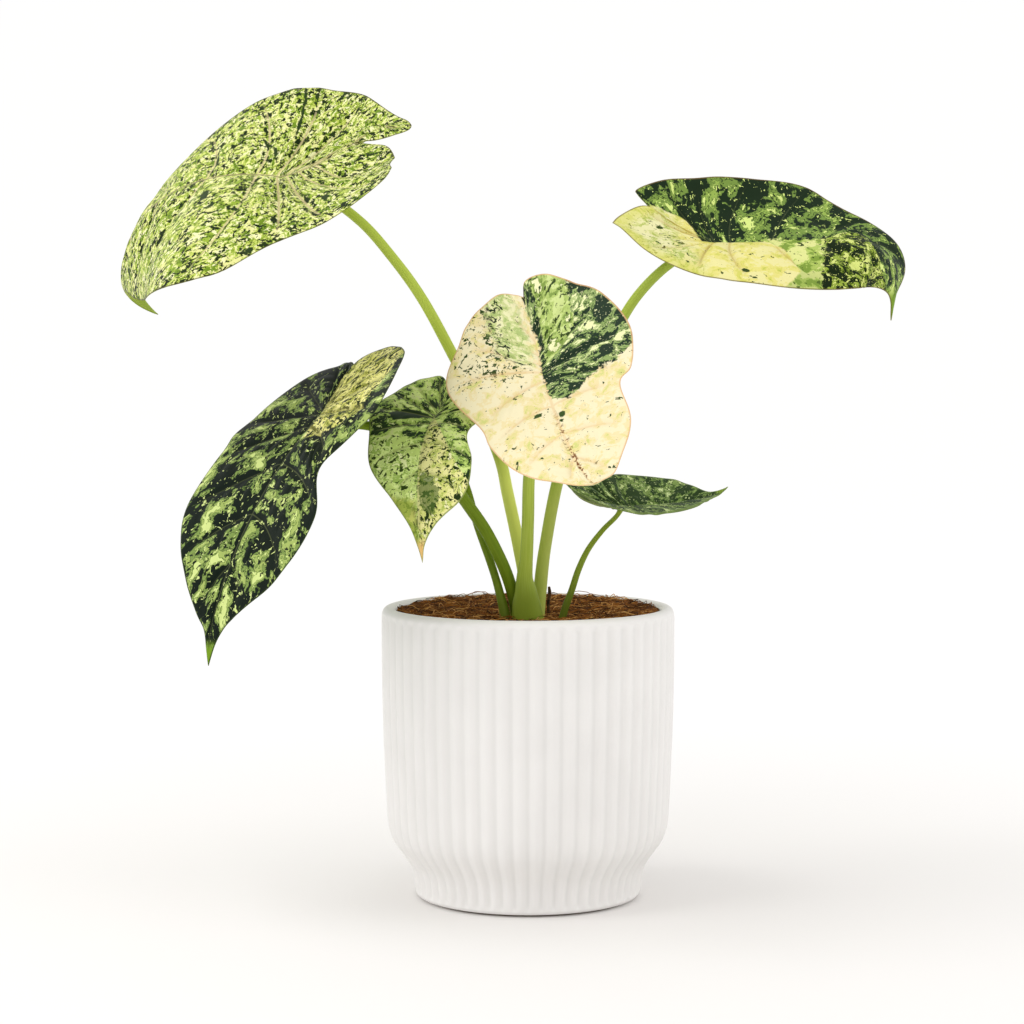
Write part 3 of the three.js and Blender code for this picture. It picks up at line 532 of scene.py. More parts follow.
def blade_piece(name, blade, areas):
    """A blade as a closed solid: both faces are the blade's surface moved along its normal, the
    top one by the swelling between the ribs less fine grooves along them, the lower one also by
    the ribs that stand out under it. Both thin towards the margin, where a strip joins them.
    Its fields hold distances to ribs, midrib and margin and the depth inside each marked area."""
    surface = blade_surface(blade)
    rows = np.linspace(0, LAST_ROW, LAST_ROW * STEPS_PER_ROW + 1)
    part = np.linspace(0, 1, COLUMN_STEPS + 1)
    columns = (1 - COLUMN_EASE) * part + COLUMN_EASE * (0.5 - 0.5 * np.cos(np.pi * part))
    row, column = np.meshgrid(rows, columns, indexing="ij")
    x, y = places = np.stack([flat_places(blade, sign, row, column) for sign in (1, -1)], 1)
    per_row = np.gradient(places, rows, axis=2)
    per_column = np.gradient(places, columns, axis=3)
    crossing = np.abs(per_row[0] * per_column[1] - per_row[1] * per_column[0])
    spread = crossing / np.maximum(np.linalg.norm(per_column, axis=0), TINY)
    rib = np.abs(row - np.clip(np.round(row), NOTCH_RIB_ROW, TIP_RIB_ROW)) * spread
    midrib = np.hypot(x - x[..., :1], y - y[..., :1])
    margin = np.hypot(x - x[..., -1:], y - y[..., -1:])
    index = np.arange(x.size).reshape(x.shape)
    index[1, :, 0] = index[0, :, 0]
    index[:, 0], index[:, -1] = index[0, 0, 0], index[0, -1, 0]

    x, y, rib, midrib, margin = (values.ravel() for values in (x, y, rib, midrib, margin))
    row, column = np.tile(row.ravel(), 2), np.tile(column.ravel(), 2)
    centre = surface(x, y)
    normal = normal_at(surface, x, y, NORMAL_REACH)
    tip_fade = 1 - smooth((row - TIP_FADE_ROW) / (LAST_ROW - TIP_FADE_ROW))
    raised = swelling(blade, row, column)
    ripple = MARGIN_RIPPLE * column**8 * np.sin(5.1 * row + 2 * np.sin(2.3 * row)) * tip_fade
    rib_width = RIB_WIDTH_AT_MARGIN + (RIB_WIDTH_AT_MIDRIB - RIB_WIDTH_AT_MARGIN) * (1 - column)
    on_rib = ridge(rib, rib_width) * (1 - column**4) * tip_fade
    on_midrib = ridge(midrib, MIDRIB_WIDTH) * tip_fade * smooth(row / NOTCH_RIB_ROW)
    groove = RIB_GROOVE * on_rib + MIDRIB_GROOVE * on_midrib
    thinned = (1 - 0.6 * smooth((column - 0.93) / 0.07)) * (0.5 + 0.5 * smooth(margin / 2))
    half = BLADE_THICKNESS / 2 * thinned
    keel = blade.keel * hump(row, KEEL_ROWS) * ridge(midrib, KEEL_WIDTH) + RIB_RELIEF * on_rib
    top = centre + normal * (raised + ripple + half - groove)[:, None]
    bottom = centre + normal * (raised + ripple - half - keel)[:, None]

    under = len(top)
    upper = np.concatenate([strip_triangles(index[0])[:, ::-1], strip_triangles(index[1])])
    left, right = index[..., -1]
    rims = []
    for a, b in ((left[:-1], left[1:]), (right[1:], right[:-1])):
        rims += [np.stack([a, b, b + under], 1), np.stack([a, b + under, a + under], 1)]
    triangles = np.concatenate([upper, upper[:, ::-1] + under, *rims])
    along = np.where(x < 0, x / blade.lobes, x) / blade.length
    across = y / blade.length
    # How deep a place lies in a hollow between the cushions; it drives the painted shade there
    hollow = np.clip(-raised / (blade.quilt * PILLOW_HEIGHT), 0, 1)
    fields = {"rib_mm": rib, "midrib_mm": midrib, "margin_mm": margin, "along": along, "across": across,
              "hollow": hollow}
    for key, outlines in areas.items():
        fields[key] = blade.length * np.max([polygon_depth(line, along, across) for line in outlines], axis=0)
    fields = {key: np.tile(values, 2) for key, values in fields.items()}
    fields["underside"] = np.repeat([0.0, 1.0], under)
    signed_column = column * np.repeat([1, -1], under // 2)
    maps = {"flat": np.stack([x, y], 1) / FLAT_MAP_UNIT, "ribs": np.stack([row, signed_column], 1)}
    maps = {key: np.tile(pairs, (2, 1)) for key, pairs in maps.items()}
    return make_mesh(name, held_in_box(np.concatenate([top, bottom])), triangles, fields, maps)


def chord_curve(points, stops):
    """Centripetal Catmull-Rom curve through points: each stretch is the cubic through its two ends
    with slopes weighted by the square roots of the three chords round it."""
    padded = np.vstack([2 * points[0] - points[1], points, 2 * points[-1] - points[-2]])
    start = np.clip(np.floor(stops).astype(int), 0, len(points) - 2)
    step = (stops - start)[:, None]
    p0, p1, p2, p3 = (padded[start + k] for k in range(4))
    d0, d1, d2 = (np.sqrt(np.linalg.norm(b - a, axis=1, keepdims=True))
                  for a, b in ((p0, p1), (p1, p2), (p2, p3)))
    slope1 = ((p1 - p0) / d0 - (p2 - p0) / (d0 + d1) + (p2 - p1) / d1) * d1
    slope2 = ((p2 - p1) / d1 - (p3 - p1) / (d1 + d2) + (p3 - p2) / d2) * d1
    return (p1 + slope1 * step + (3 * (p2 - p1) - 2 * slope1 - slope2) * step**2
            + (2 * (p1 - p2) + slope1 + slope2) * step**3)


def stem_piece(name, path, blade=None, longest=STALK_STEP, sides=STALK_SIDES):
    """A stalk as a closed tube round a path: each ring is an ellipse in the plane across the path,
    its front axis as near to +Y as that plane allows, with a fine grain of sines. Under its blade
    the stalk widens, and points that would come through are laid against the lower face."""
    if blade:
        path = [*path, (*blade.seat, *path[-1][3:])]
    path = np.array([(*stop, stop[3])[:5] for stop in path], float)
    places = path[:, :3]
    counts = np.ceil(np.linalg.norm(np.diff(places, axis=0), axis=1) / longest).astype(int)
    stops = np.concatenate([k + np.arange(n) / n for k, n in enumerate(counts)] + [[len(places) - 1]])
    centre = chord_curve(places, stops)
    tangent = unit(np.gradient(centre, axis=0))
    front = unit(np.array([0, 1, 0]) - tangent * tangent[:, 1:2])
    right = np.cross(front, tangent)
    across, deep = (np.interp(stops, np.arange(len(path)), path[:, k])[:, None, None] for k in (3, 4))
    angle = turn_angles(sides)
    ring = np.cos(angle)[:, None] * right[:, None] * across + np.sin(angle)[:, None] * front[:, None] * deep
    along = np.concatenate([[0], np.cumsum(np.linalg.norm(np.diff(centre, axis=0), axis=1))])[:, None]
    if blade:
        ring = ring * (1 + FLARE * smooth((along - along[-1] + FLARE_LENGTH) / FLARE_LENGTH))[..., None]
    grain = 1 + 0.02 * np.sin(5 * angle + 0.05 * along) + 0.012 * np.sin(11 * angle - 0.11 * along)
    points = centre[:, None] + ring * grain[..., None]
    if blade:
        surface = blade_surface(blade)
        seat = surface(np.zeros(1), np.zeros(1))[0]
        normal = normal_at(surface, np.zeros(1), np.zeros(1), SEAT_REACH)[0]
        height = (points - seat) @ normal + BLADE_THICKNESS / 2
        points = points - normal * np.maximum(height, 0)[..., None]
    grid = np.ones(points.shape[:2])
    return closed_tube(name, points, {
        "along_mm": along * grid, "height_mm": points[..., 2],
        "side": np.cos(angle) * grid, "front": np.sin(angle) * grid})


def turned_piece(name, height, radius, fields=None):
    """A closed turned form from grids of heights and radii, ring by ring: x and y are the radius
    times the cosine and sine of an angle that starts at the front."""
    height, radius = np.broadcast_arrays(height, radius)
    angle = turn_angles(radius.shape[1], -np.pi / 2)
    points = np.stack([np.cos(angle) * radius, np.sin(angle) * radius, height], -1)
    return closed_tube(name, points, fields or {})


def resampled(points, steps):
    """Points of a smooth curve through a profile, steps of them for each of its stretches."""
    return through(points, np.linspace(0, len(points) - 1, (len(points) - 1) * steps + 1))


def pot_piece():
    """The cover pot: valleys between the ribs, as deep as a power of |cos| round the outside times
    what the profile says; the lip, the inner wall and the foot are plain."""
    outside, inside = resampled(POT_OUTSIDE, 3), resampled(POT_INSIDE, 2)
    foot = [(0, FAN_RADIUS), (0, FOOT_RADIUS), (FOOT_HEIGHT, FOOT_RADIUS)]
    height, radius = np.concatenate([foot, outside[:, :2], inside]).T[..., None]
    raised = np.concatenate([np.zeros(len(foot)), outside[:, 2], np.zeros(len(inside))])
    turn = np.arange(RIB_COUNT * SIDES_PER_RIB) / SIDES_PER_RIB
    depth = np.clip(raised, 0, 1)[:, None] * np.abs(np.cos(np.pi * turn)) ** VALLEY_POWER
    return turned_piece("cover_pot", height, radius - RIB_DEPTH * depth, {"valley": depth})


def coir_top(x, y):
    """Height of the coir's surface: a dish that rises with the square of the radius and towards
    the back, with lumps from products of sines, and small unevenness from sums of sines in turned
    directions and growing frequencies."""
    angle, part = np.arctan2(y, x), np.hypot(x, y) / POT_INNER_RADIUS
    lumps = np.sin(3 * angle + 1.3) * np.sin(9 * part + 0.4) + 0.7 * np.sin(7 * angle - 6 * part)
    grain = np.zeros_like(x)
    for octave in range(5):
        frequency = 0.35 * 1.75**octave
        turn = 1.1 + 2.4 * octave
        u = x * math.cos(turn) + y * math.sin(turn)
        v = y * math.cos(turn) - x * math.sin(turn)
        grain += np.sin(frequency * u + 1.7 * np.sin(0.6 * frequency * v) + octave) * 0.5**octave
    return (COIR_CENTRE_HEIGHT + COIR_EDGE_RISE * part**2 + COIR_BACK_RISE * part * np.sin(angle)
            + COIR_LUMP * lumps * part * (1 - part**4) + COIR_GRAIN * grain)


def coir_piece():
    """The coir's body: its surface on a polar grid, over a plain side."""
    angle = turn_angles(COIR_SIDES, -np.pi / 2)
    wall_height, wall_radius = np.array(COIR_WALL).T[..., None] + 0 * angle
    radius = COIR_REACH * np.linspace(1, COIR_LAST_RING, COIR_RINGS)[:, None] + 0 * angle
    height = coir_top(radius * np.cos(angle), radius * np.sin(angle))
    return turned_piece(
        "coir_body", np.concatenate([wall_height, height]), np.concatenate([wall_radius, radius]))


def fibre_piece():
    """Many thin fibres in one mesh: each is a three-sided tube along a curve whose heading turns
    steadily, and whose height over the coir is its own rise times a half sine. Chance gives each
    one its start, heading, length, radius, rise, bend and shade, in this order."""
    start, round_axis, heading, length, radius, rise, bend, shade = random.random((8, FIBRE_COUNT, 1))

    def measure(least, added, power, chance):
        return least + added * chance**power
    part = np.linspace(0, 1, FIBRE_STEPS)
    heading = 2 * np.pi * heading + FIBRE_BEND * (bend - 0.5) * (part - 0.5)
    stride = measure(*FIBRE_LENGTH, length) / (FIBRE_STEPS - 1)
    start = (COIR_REACH - FIBRE_START_GAP) * np.sqrt(start)
    x = start * np.cos(2 * np.pi * round_axis) + np.cumsum(np.cos(heading) * stride, 1)
    y = start * np.sin(2 * np.pi * round_axis) + np.cumsum(np.sin(heading) * stride, 1)
    reach = np.hypot(x, y)
    held = np.minimum(reach, COIR_REACH - FIBRE_EDGE_GAP) / np.maximum(reach, TINY)
    x, y = x * held, y * held
    radius = measure(*FIBRE_RADIUS, radius)
    z = coir_top(x, y) + radius * 0.6 + measure(*FIBRE_RISE, rise) * np.sin(np.pi * part)
    centre = np.stack([x, y, z], -1)
    tangent = unit(np.gradient(centre, axis=1))
    sideways = unit(np.cross(tangent, [0, 0, 1.0]))
    upwards = np.cross(sideways, tangent)
    width = (radius * (0.35 + 0.65 * np.sin(np.pi * (0.08 + 0.84 * part))))[..., None]
    points = np.stack([centre + width * (math.cos(turn) * sideways + math.sin(turn) * upwards)
                       for turn in map(math.radians, (-150, -30, 90))], 2)
    index = np.arange(points[..., 0].size).reshape(points.shape[:3])
    triangles = np.concatenate([strip_triangles(index, closed=True), index[:, 0, ::-1], index[:, -1]])
    return make_mesh("coir_fibres", points.reshape(-1, 3), triangles, {
        "shade": np.repeat(shade, FIBRE_STEPS * 3)})


# Materials

# How widely a noise texture's values are spread round a half
NOISE_SPREAD = 0.1


class Varying:
    """A number, colour or vector that varies over the surface: a wrapped socket of a material's
    nodes. Arithmetic on it adds Math nodes, also with the plain number on the left."""

    def __init__(self, paint, socket):
        self.paint = paint
        self.socket = socket

    def math(self, operation, *values):
        return self.paint.node("ShaderNodeMath", {"operation": operation}, dict(enumerate(values)))

    def __add__(self, other):
        return self.math("ADD", self, other)

    def __sub__(self, other):
        return self.math("SUBTRACT", self, other)

    def __mul__(self, other):
        return self.math("MULTIPLY", self, other)

    def __pow__(self, other):
        return self.math("POWER", self, other)

    def __radd__(self, other):
        return self.math("ADD", other, self)

    def __rsub__(self, other):
        return self.math("SUBTRACT", other, self)

    def __rmul__(self, other):
        return self.math("MULTIPLY", other, self)

    def at_least(self, other):
        return self.math("MAXIMUM", self, other)

    def between(self, low, high):
        """A smooth step from 0 at low to 1 at high; low may be the greater of the two."""
        return self.paint.node(
            "ShaderNodeMapRange", {"interpolation_type": "SMOOTHSTEP"},
            {"Value": self, "From Min": low, "From Max": high, "To Min": 0.0, "To Max": 1.0})


def linear(colour):
    """A colour for a socket. Three numbers are a tone as the photograph shows it, 0 to 255: each
    channel, as a part c of 255, becomes c / 12.92 near black and ((c + 0.055) / 1.055) to the power
    2.4 above that. Colours that vary, and four numbers, which are linear already, stay as they are."""
    if isinstance(colour, Varying) or len(colour) == 4:
        return colour
    parts = np.array(colour) / 255
    return (*np.where(parts <= 0.04045, parts / 12.92, ((parts + 0.055) / 1.055) ** 2.4), 1.0)


def socket_name(key):
    """The shader's own name of a socket written with underscores."""
    return key.replace("_", " ").title().replace("Ior", "IOR")


class Paint:
    """A material being made. Numbers that are the same all over go on its shader's own sockets."""

    def __init__(self, name, **constants):
        self.material = bpy.data.materials.new(name)
        self.material.use_nodes = True
        self.tree = self.material.node_tree
        self.shader = self.tree.nodes["Principled BSDF"]
        for key, value in constants.items():
            self.shader.inputs[socket_name(key)].default_value = value

    def node(self, kind, settings=None, values=None, output=0):
        """Adds a node of a type, makes its settings, then fills its sockets with values or links.
        A ramp's stops are a setting: pairs of a position and a colour."""
        node = self.tree.nodes.new(kind)
        for key, value in (settings or {}).items():
            if key == "stops":
                self.fill_ramp(node.color_ramp, value)
            else:
                setattr(node, key, value)
        for key, value in (values or {}).items():
            if isinstance(value, Varying):
                self.tree.links.new(value.socket, node.inputs[key])
            else:
                node.inputs[key].default_value = value
        return Varying(self, node.outputs[output])

    @staticmethod
    def fill_ramp(ramp, stops):
        """Stops that hold their colour up to the next one."""
        ramp.interpolation = "CONSTANT"
        while len(ramp.elements) < len(stops):
            ramp.elements.new(1.0)
        for element, (position, colour) in zip(ramp.elements, stops):
            element.position, element.color = position, linear(colour)

    def fields(self, *names):
        """The numbers that the mesh keeps at its points under these names."""
        return [self.node("ShaderNodeAttribute", {"attribute_name": name}, output="Fac") for name in names]

    def field(self, name):
        return self.fields(name)[0]

    def parts(self, vector):
        """The three numbers of a vector."""
        outputs = self.node("ShaderNodeSeparateXYZ", {}, {0: vector}).socket.node.outputs
        return tuple(Varying(self, outputs[k]) for k in range(3))

    def vector(self, x, y, z):
        return self.node("ShaderNodeCombineXYZ", {}, {0: x, 1: y, 2: z})

    def shifted(self, place, direction, reach):
        """A place moved along a direction that varies, by so many times its length."""
        step = self.node("ShaderNodeVectorMath", {"operation": "SCALE"}, {0: direction, "Scale": reach})
        return self.node("ShaderNodeVectorMath", {"operation": "ADD"}, {0: place, 1: step})

    def map(self, name):
        """The numbers of one of the mesh's maps."""
        return self.parts(self.node("ShaderNodeUVMap", {"uv_map": name}))

    def position(self):
        return self.node("ShaderNodeTexCoord", {}, {}, "Object")

    def noise(self, vector, scale, detail=2.0, roughness=0.5, output="Fac"):
        return self.node("ShaderNodeTexNoise", {}, {
            "Vector": vector, "Scale": scale, "Detail": detail, "Roughness": roughness}, output)

    def mix(self, share, first, second):
        """The first colour where share is 0, the second where it is 1."""
        return self.node("ShaderNodeMix", {"data_type": "RGBA"}, {
            0: share, 6: linear(first), 7: linear(second)}, 2)

    def bands(self, value, tones):
        """Crisp bands of colour over a noise value. Each tone ends with its share of the surface: noise
        values are spread nearly as a bell curve round a half, so the stops are its quantiles."""
        bell = NormalDist(0.5, NOISE_SPREAD)
        covered = np.cumsum([0] + [share for *_, share in tones])
        stops = [(bell.inv_cdf(part) if part else 0.0, colour)
                 for part, (*colour, _) in zip(covered / covered[-1], tones)]
        return self.node("ShaderNodeValToRGB", {"stops": stops}, {0: value})

    def grown(self, grain, drawn_out, seed, bend=0.8):
        """Pattern coordinates of a blade, in grains of so many millimetres: its flat x and y bent by
        two noises, and a third that changes from rib to rib, which draws marks out along the ribs."""
        x, y, _ = self.map("flat")
        row, _, _ = self.map("ribs")
        size = FLAT_MAP_UNIT / grain
        place = self.vector(x * size, y * size, row * drawn_out + seed)
        broad = self.noise(place, 0.6, 1.0, 0.5, "Color")
        fine = self.noise(place, 2.4, 2.0, 0.6, "Color")
        return self.shifted(self.shifted(place, broad, bend * 2.4), fine, bend * 0.7)

    def marks(self, vector, scale, share, more=0.0):
        """Crisp patches where a noise is highest, 1 inside and 0 outside, over the given share. Where
        more is above 0 it is added to the noise, so that the patches are larger there."""
        level = NormalDist(0.5, NOISE_SPREAD).inv_cdf(1 - share)
        return (self.noise(vector, scale, 2.0, 0.55) + more).between(level - 0.007, level + 0.007)

    def ragged(self, strength):
        """A fine noise round 0 that frays the edges of marked areas."""
        return (self.noise(self.grown(4.0, 0.8, 3.0), 1.2, 3.0, 0.6) - 0.5) * strength

    def feed(self, **varying):
        """Links what varies to the shader's sockets and gives the finished material."""
        for key, value in varying.items():
            self.tree.links.new(value.socket, self.shader.inputs[socket_name(key)])
        return self.material

    def bump(self, height, strength, distance):
        return self.node("ShaderNodeBump", {}, {
            "Height": height, "Strength": strength, "Distance": distance * MM})


# Marked areas of the blades: for each, its outlines on the flat blade in hundredths of its length
MARKED_AREAS = {
    "upper_left": {
        "blots_mm": [[(8, -40), (5, -30), (3, -20), (1, -11), (2.2, -20), (4.2, -30), (7, -40)],
            [(12, -16.5), (8.5, -11.5), (8, -14)], [(7, -12), (3, -5), (5.5, -12)], [(29, -16), (25, -8),
            (21, -4), (24, -9)], [(20, 9), (17.5, 9), (15, 16), (17.5, 15)], [(4.5, 15), (3, 16), (2, 24)],
            [(-20, 17), (-24, 18), (-24, 23)], [(-5, 42), (-9, 41), (-9, 45)]],
    },
    "upper_right": {
        "cream_mm": [[(-12, 12), (-30, 17), (-60, 10), (-62, -30), (-30, -50), (15, -50), (24, -38),
            (29, -31), (32, -25), (30, -16), (27, -7), (21, 0), (0, -1), (-5, 0)]],
        "lime_mm": [[(20, 2), (30, -20), (22, -38), (20, -50), (38, -50), (40, -27), (42, -17), (44, -8),
            (43, 0)]],
        "near_side_mm": [[(-10, -2), (-12, 12), (-70, 10), (-70, -60), (110, -60), (110, -10), (86, -10),
            (74, -12), (66, -3), (61, 6), (54, 7), (47, 2), (40, -1)]],
        "blots_mm": [[(-27, 5), (-25, 7), (-23, 5), (-25, 3.5)], [(4.5, -22), (5.5, -25), (6.5, -22)],
            [(9, -29), (10, -32), (12, -31), (11, -28)], [(12.5, -35), (14, -37), (14.5, -34)], [(-14, -29),
            (-12, -31), (-12, -28)], [(53, -10), (54, -15), (58, -15), (58, -10)]],
    },
    "centre": {
        "dark_mm": [[(-45, -0.5), (-30, 0), (-12, 1.2), (0, -0.5), (19, 0), (22, 9), (19, 17), (13, 26),
            (12, 36), (4, 52), (-30, 50), (-60, 30)]],
        "pale_lobe_mm": [[(-60, 5), (-32, 5), (-16, 4.5), (-3, 3), (-5, 9), (-11, 16), (-20, 21), (-30, 22),
            (-40, 22), (-60, 30)]],
        "tint_mm": [[(-46, -20), (-44, -6), (-28, -3), (-10, -2), (-2, -3), (-7, -12), (-15, -20),
            (-30, -21)]],
        "flecks_mm": [[(-42, -12), (-38, -30), (-20, -44), (-3, -42), (3, -20), (3, -3), (-6, -2),
            (-12, -10), (-28, -12)]],
        "blots_mm": [[(25.5, -9.5), (26.5, -5.5), (29, -6.5), (28.5, -10)], [(30, 1.5), (30.5, 5), (34, 4),
            (34, 1.5)], [(40, 13), (41, 15), (44, 13)], [(-12.5, -30), (-12, -28), (-10, -29)], [(-11, -23),
            (-10, -20), (-8, -21)], [(-25, -33), (-26, -31), (-23, -32)]],
    },
    "lower_left": {
        "cream_mm": [[(-60, -12), (-24, -7), (-8, -2), (2, 1), (13, 3), (12, 10), (11, 20), (9, 28),
            (6, 33), (-10, 33), (-20, 29), (-36, 22), (-60, 20)]],
        "band_mm": [[(8, -7), (13, 2), (10, 22), (8, 36), (20, 35), (25, 25), (22, 10), (14, -6)]],
    },
    "small_left": {
        "cream_mm": [[(-1, 0), (30, -1), (60, -0.5), (110, -2), (110, 30), (70, 40), (58, 33), (40, 22),
            (22, 13)]],
        "wedge_mm": [[(0, 1), (-5, -10), (-8, -20), (-2, -30), (6, -24), (3, -10)]],
        "fresh_mm": [[(24, -2), (20, -15), (26, -42), (62, -35), (64, -2)]],
        "patch_mm": [[(45, 2), (55, 0), (70, 2), (72, 10), (60, 14), (50, 10)]],
        "yellow_mm": [[(62, -1), (60, -10), (52, -35), (110, -30), (110, 0)]],
    },
    "small_right": {},
}


def camouflage(paint, seed, tones, grain=10.0, drawn_out=1.5, speck=0.1, more=0.0):
    """Large ragged patches, bands of tones over a bent noise, with small dark and pale marks on
    top. The first tone is the dark one; it grows where more is above 0."""
    space = paint.grown(grain, drawn_out, seed, 1.0)
    colour = paint.bands(paint.noise(space, 0.9, 3.0, 0.5) - more, tones)
    small = paint.grown(grain * 0.35, drawn_out * 2, seed + 40)
    colour = paint.mix(paint.marks(small, 1.0, speck * 0.7), colour, tones[0][:3])
    return paint.mix(paint.marks(small, 1.7, speck * 0.5), colour, tones[-1][:3])


def cream(paint, seed, tones, fleck_tone, fleck_share, grain=5.0, drawn_out=0.9, more=0.0):
    """Softly clouded ground in bands of near tones, with dark flecks of two sizes."""
    space = paint.grown(grain, drawn_out, seed)
    colour = paint.bands(paint.noise(space, 0.7, 4.0, 0.6), tones)
    large = paint.marks(paint.grown(grain * 0.8, drawn_out * 2, seed + 20), 0.9, fleck_share * 0.8, more)
    small = paint.marks(space, 2.6, fleck_share * 0.6, more)
    return paint.mix(large.at_least(small), colour, fleck_tone)


def ribbed(paint, colour, line, strength, width, reach):
    """Thin lines of another colour along the ribs and the midrib, fading towards the margin."""
    rib, midrib, margin = paint.fields("rib_mm", "midrib_mm", "margin_mm")
    lines = rib.between(width, width * 0.4) * margin.between(1.0, reach)
    middle = midrib.between(width * 1.2, width * 0.5)
    return paint.mix(lines.at_least(middle) * strength, colour, line)


def painted_crease_shade(paint, colour, shade, strength, width=2.4, reach=20.0):
    """Painted shade: darkens the valleys along the ribs and the midrib, and the hollows between the cushions,
    where shade falls on the quilted blade.
    """
    rib, midrib, margin, hollow = paint.fields("rib_mm", "midrib_mm", "margin_mm", "hollow")
    valley = rib.between(width, 0.2) * margin.between(2.0, reach)
    # Painted shade mask: full along ribs and midrib, half in the hollows between the cushions
    crease = valley.at_least(midrib.between(width, 0.3)).at_least(hollow.between(0.1, 0.7) * 0.5)
    return paint.mix(crease * strength, colour, shade)


def finish_blade(paint, colour, tip_from, tip_full, tip, edge, under):
    """Adds the tip, the margin's line and the lower face, where the marks show through faintly
    between lighter ribs, and gives the leaf its grain and gloss."""
    rib, midrib, margin, along, underside = paint.fields(
        "rib_mm", "midrib_mm", "margin_mm", "along", "underside")
    colour = paint.mix(along.between(tip_from, tip_full), colour, tip)
    light_rib = rib.between(1.0, 0.3).at_least(midrib.between(1.8, 0.8))
    below = paint.mix(light_rib * 0.35, paint.mix(0.76, colour, under), (196, 204, 132))
    colour = paint.mix(margin.between(0.9, 0.35) * 0.8, colour, edge)
    colour = paint.mix(underside.between(0.4, 0.6), colour, below)
    flat_x, flat_y, _ = paint.map("flat")
    fine = paint.noise(paint.vector(flat_x, flat_y, 0.0), 90.0, 3.0, 0.6)
    return paint.feed(base_color=colour, roughness=0.42 + fine * 0.16, normal=paint.bump(fine, 0.35, 0.35))


DARK, DEEP = (28, 44, 24), (52, 70, 26)
# Specular level of the leaves; the pale centre one shines a little more
LEAF_GLOSS = 0.06
CENTRE_GLOSS = 0.12


def paint_upper_left(paint):
    """Pale leaf, densely written over with small dark curls, more of them near ribs and margin."""
    rib, margin, midrib, blots = paint.fields("rib_mm", "margin_mm", "midrib_mm", "blots_mm")
    space = paint.grown(7.0, 4.0, 2.0, 1.0)
    colour = paint.bands(paint.noise(space, 0.8, 3.0, 0.55), [
        (220, 220, 144, 20), (184, 198, 90, 14), (132, 156, 44, 16), (192, 206, 100, 14), (224, 224, 154, 20),
        (148, 172, 58, 16)])
    colour = paint.mix(paint.marks(paint.grown(4.5, 6.0, 33.0, 1.0), 0.9, 0.24), colour, (108, 136, 34))
    colour = paint.mix(paint.marks(paint.grown(3.6, 7.0, 61.0, 0.9), 0.9, 0.16), colour, (230, 230, 174))
    crowded = rib.between(3.0, 1.4) * rib.between(0.8, 1.4) * 0.06 + margin.between(20.0, 1.0) * 0.02
    colour = paint.mix(paint.marks(paint.grown(3.6, 6.0, 47.0, 1.0), 0.9, 0.17, crowded), colour, (22, 38, 6))
    colour = paint.mix(paint.marks(paint.grown(2.4, 5.0, 87.0, 1.0), 1.0, 0.13, crowded), colour, (30, 46, 8))
    colour = ribbed(paint, colour, (206, 192, 142), 0.8, 0.75, 30.0)
    blot = paint.marks(paint.grown(8.0, 2.0, 21.0, 1.2), 1.0, 0.045, margin.between(22.0, 4.0) * 0.03)
    drawn = (blots + (paint.noise(space, 1.6, 3.0, 0.6) - 0.5) * 3).between(-0.2, 0.2)
    colour = paint.mix(blot.at_least(drawn), colour, (40, 58, 22))
    colour = paint.mix(midrib.between(0.5, 0.2) * 0.8, colour, (84, 92, 44))
    return finish_blade(paint, colour, 0.88, 0.93, (150, 176, 60), (88, 84, 48), (160, 178, 70))


def paint_upper_right(paint):
    """Dark far side; near side cream with a streaked lobe, then lime, then camouflage to the tip."""
    along, across, rib, margin = paint.fields("along", "across", "rib_mm", "margin_mm")
    cream_area, lime_area, near_side, blots = paint.fields("cream_mm", "lime_mm", "near_side_mm", "blots_mm")
    ragged = paint.ragged(8)
    dark = camouflage(paint, 5.0, [
        (28, 44, 26, 40), (76, 98, 46, 8), (116, 142, 66, 20), (32, 50, 26, 6), (144, 170, 80, 13),
        (90, 116, 52, 6), (208, 224, 130, 11)], 11.0, 1.5, 0.12, rib.between(3.0, 0.5) * 0.12)
    # Painted sheen: pale grey-green lines along the ribs and the midrib of the dark side, fading towards the
    # margin
    dark = ribbed(paint, dark, (112, 122, 84), 0.25, 0.5, 30.0)
    tip = camouflage(paint, 15.0, [
        (22, 36, 12, 34), (86, 106, 26, 12), (146, 166, 64, 18), (28, 42, 14, 8), (206, 216, 122, 24)],
        8.0, 1.0, 0.2)
    pale = cream(paint, 25.0, [
        (226, 219, 152, 45), (220, 212, 124, 30), (206, 203, 100, 15), (180, 188, 86, 6)], DEEP, 0.035)
    lobe = cream(paint, 35.0, [
        (226, 222, 170, 34), (206, 208, 140, 28), (172, 184, 96, 18), (220, 214, 146, 20)],
        DEEP, 0.07, 7.0, 3.0)
    lobe = paint.mix(margin.between(12.0, 3.0) * 0.6, lobe, (206, 204, 90))
    pale = paint.mix((along + across * 0.3).between(-0.1, -0.2), pale, lobe)
    # Painted shade: brownish along the ribs and the midrib and in the hollows between the cushions of the
    # cream side
    pale = painted_crease_shade(paint, pale, (190, 166, 90), 0.55, 1.0)
    pale = paint.mix((blots + ragged * 0.3).between(-0.2, 0.2), pale, DEEP)
    lime = cream(paint, 45.0, [
        (214, 218, 140, 36), (172, 192, 96, 30), (124, 150, 60, 28)], DEEP, 0.08, 6.0)
    lime = paint.mix(across.between(-0.15, -0.3) * 0.35, lime, (112, 138, 56))
    colour = paint.mix(near_side.between(-0.6, 0.6), dark, tip)
    colour = paint.mix((lime_area + ragged).between(-0.5, 0.5), colour, lime)
    colour = paint.mix((cream_area + ragged * 0.2).between(-0.5, 0.5), colour, pale)
    return finish_blade(paint, colour, 0.84, 0.92, (112, 144, 30), (110, 92, 56), (120, 140, 70))


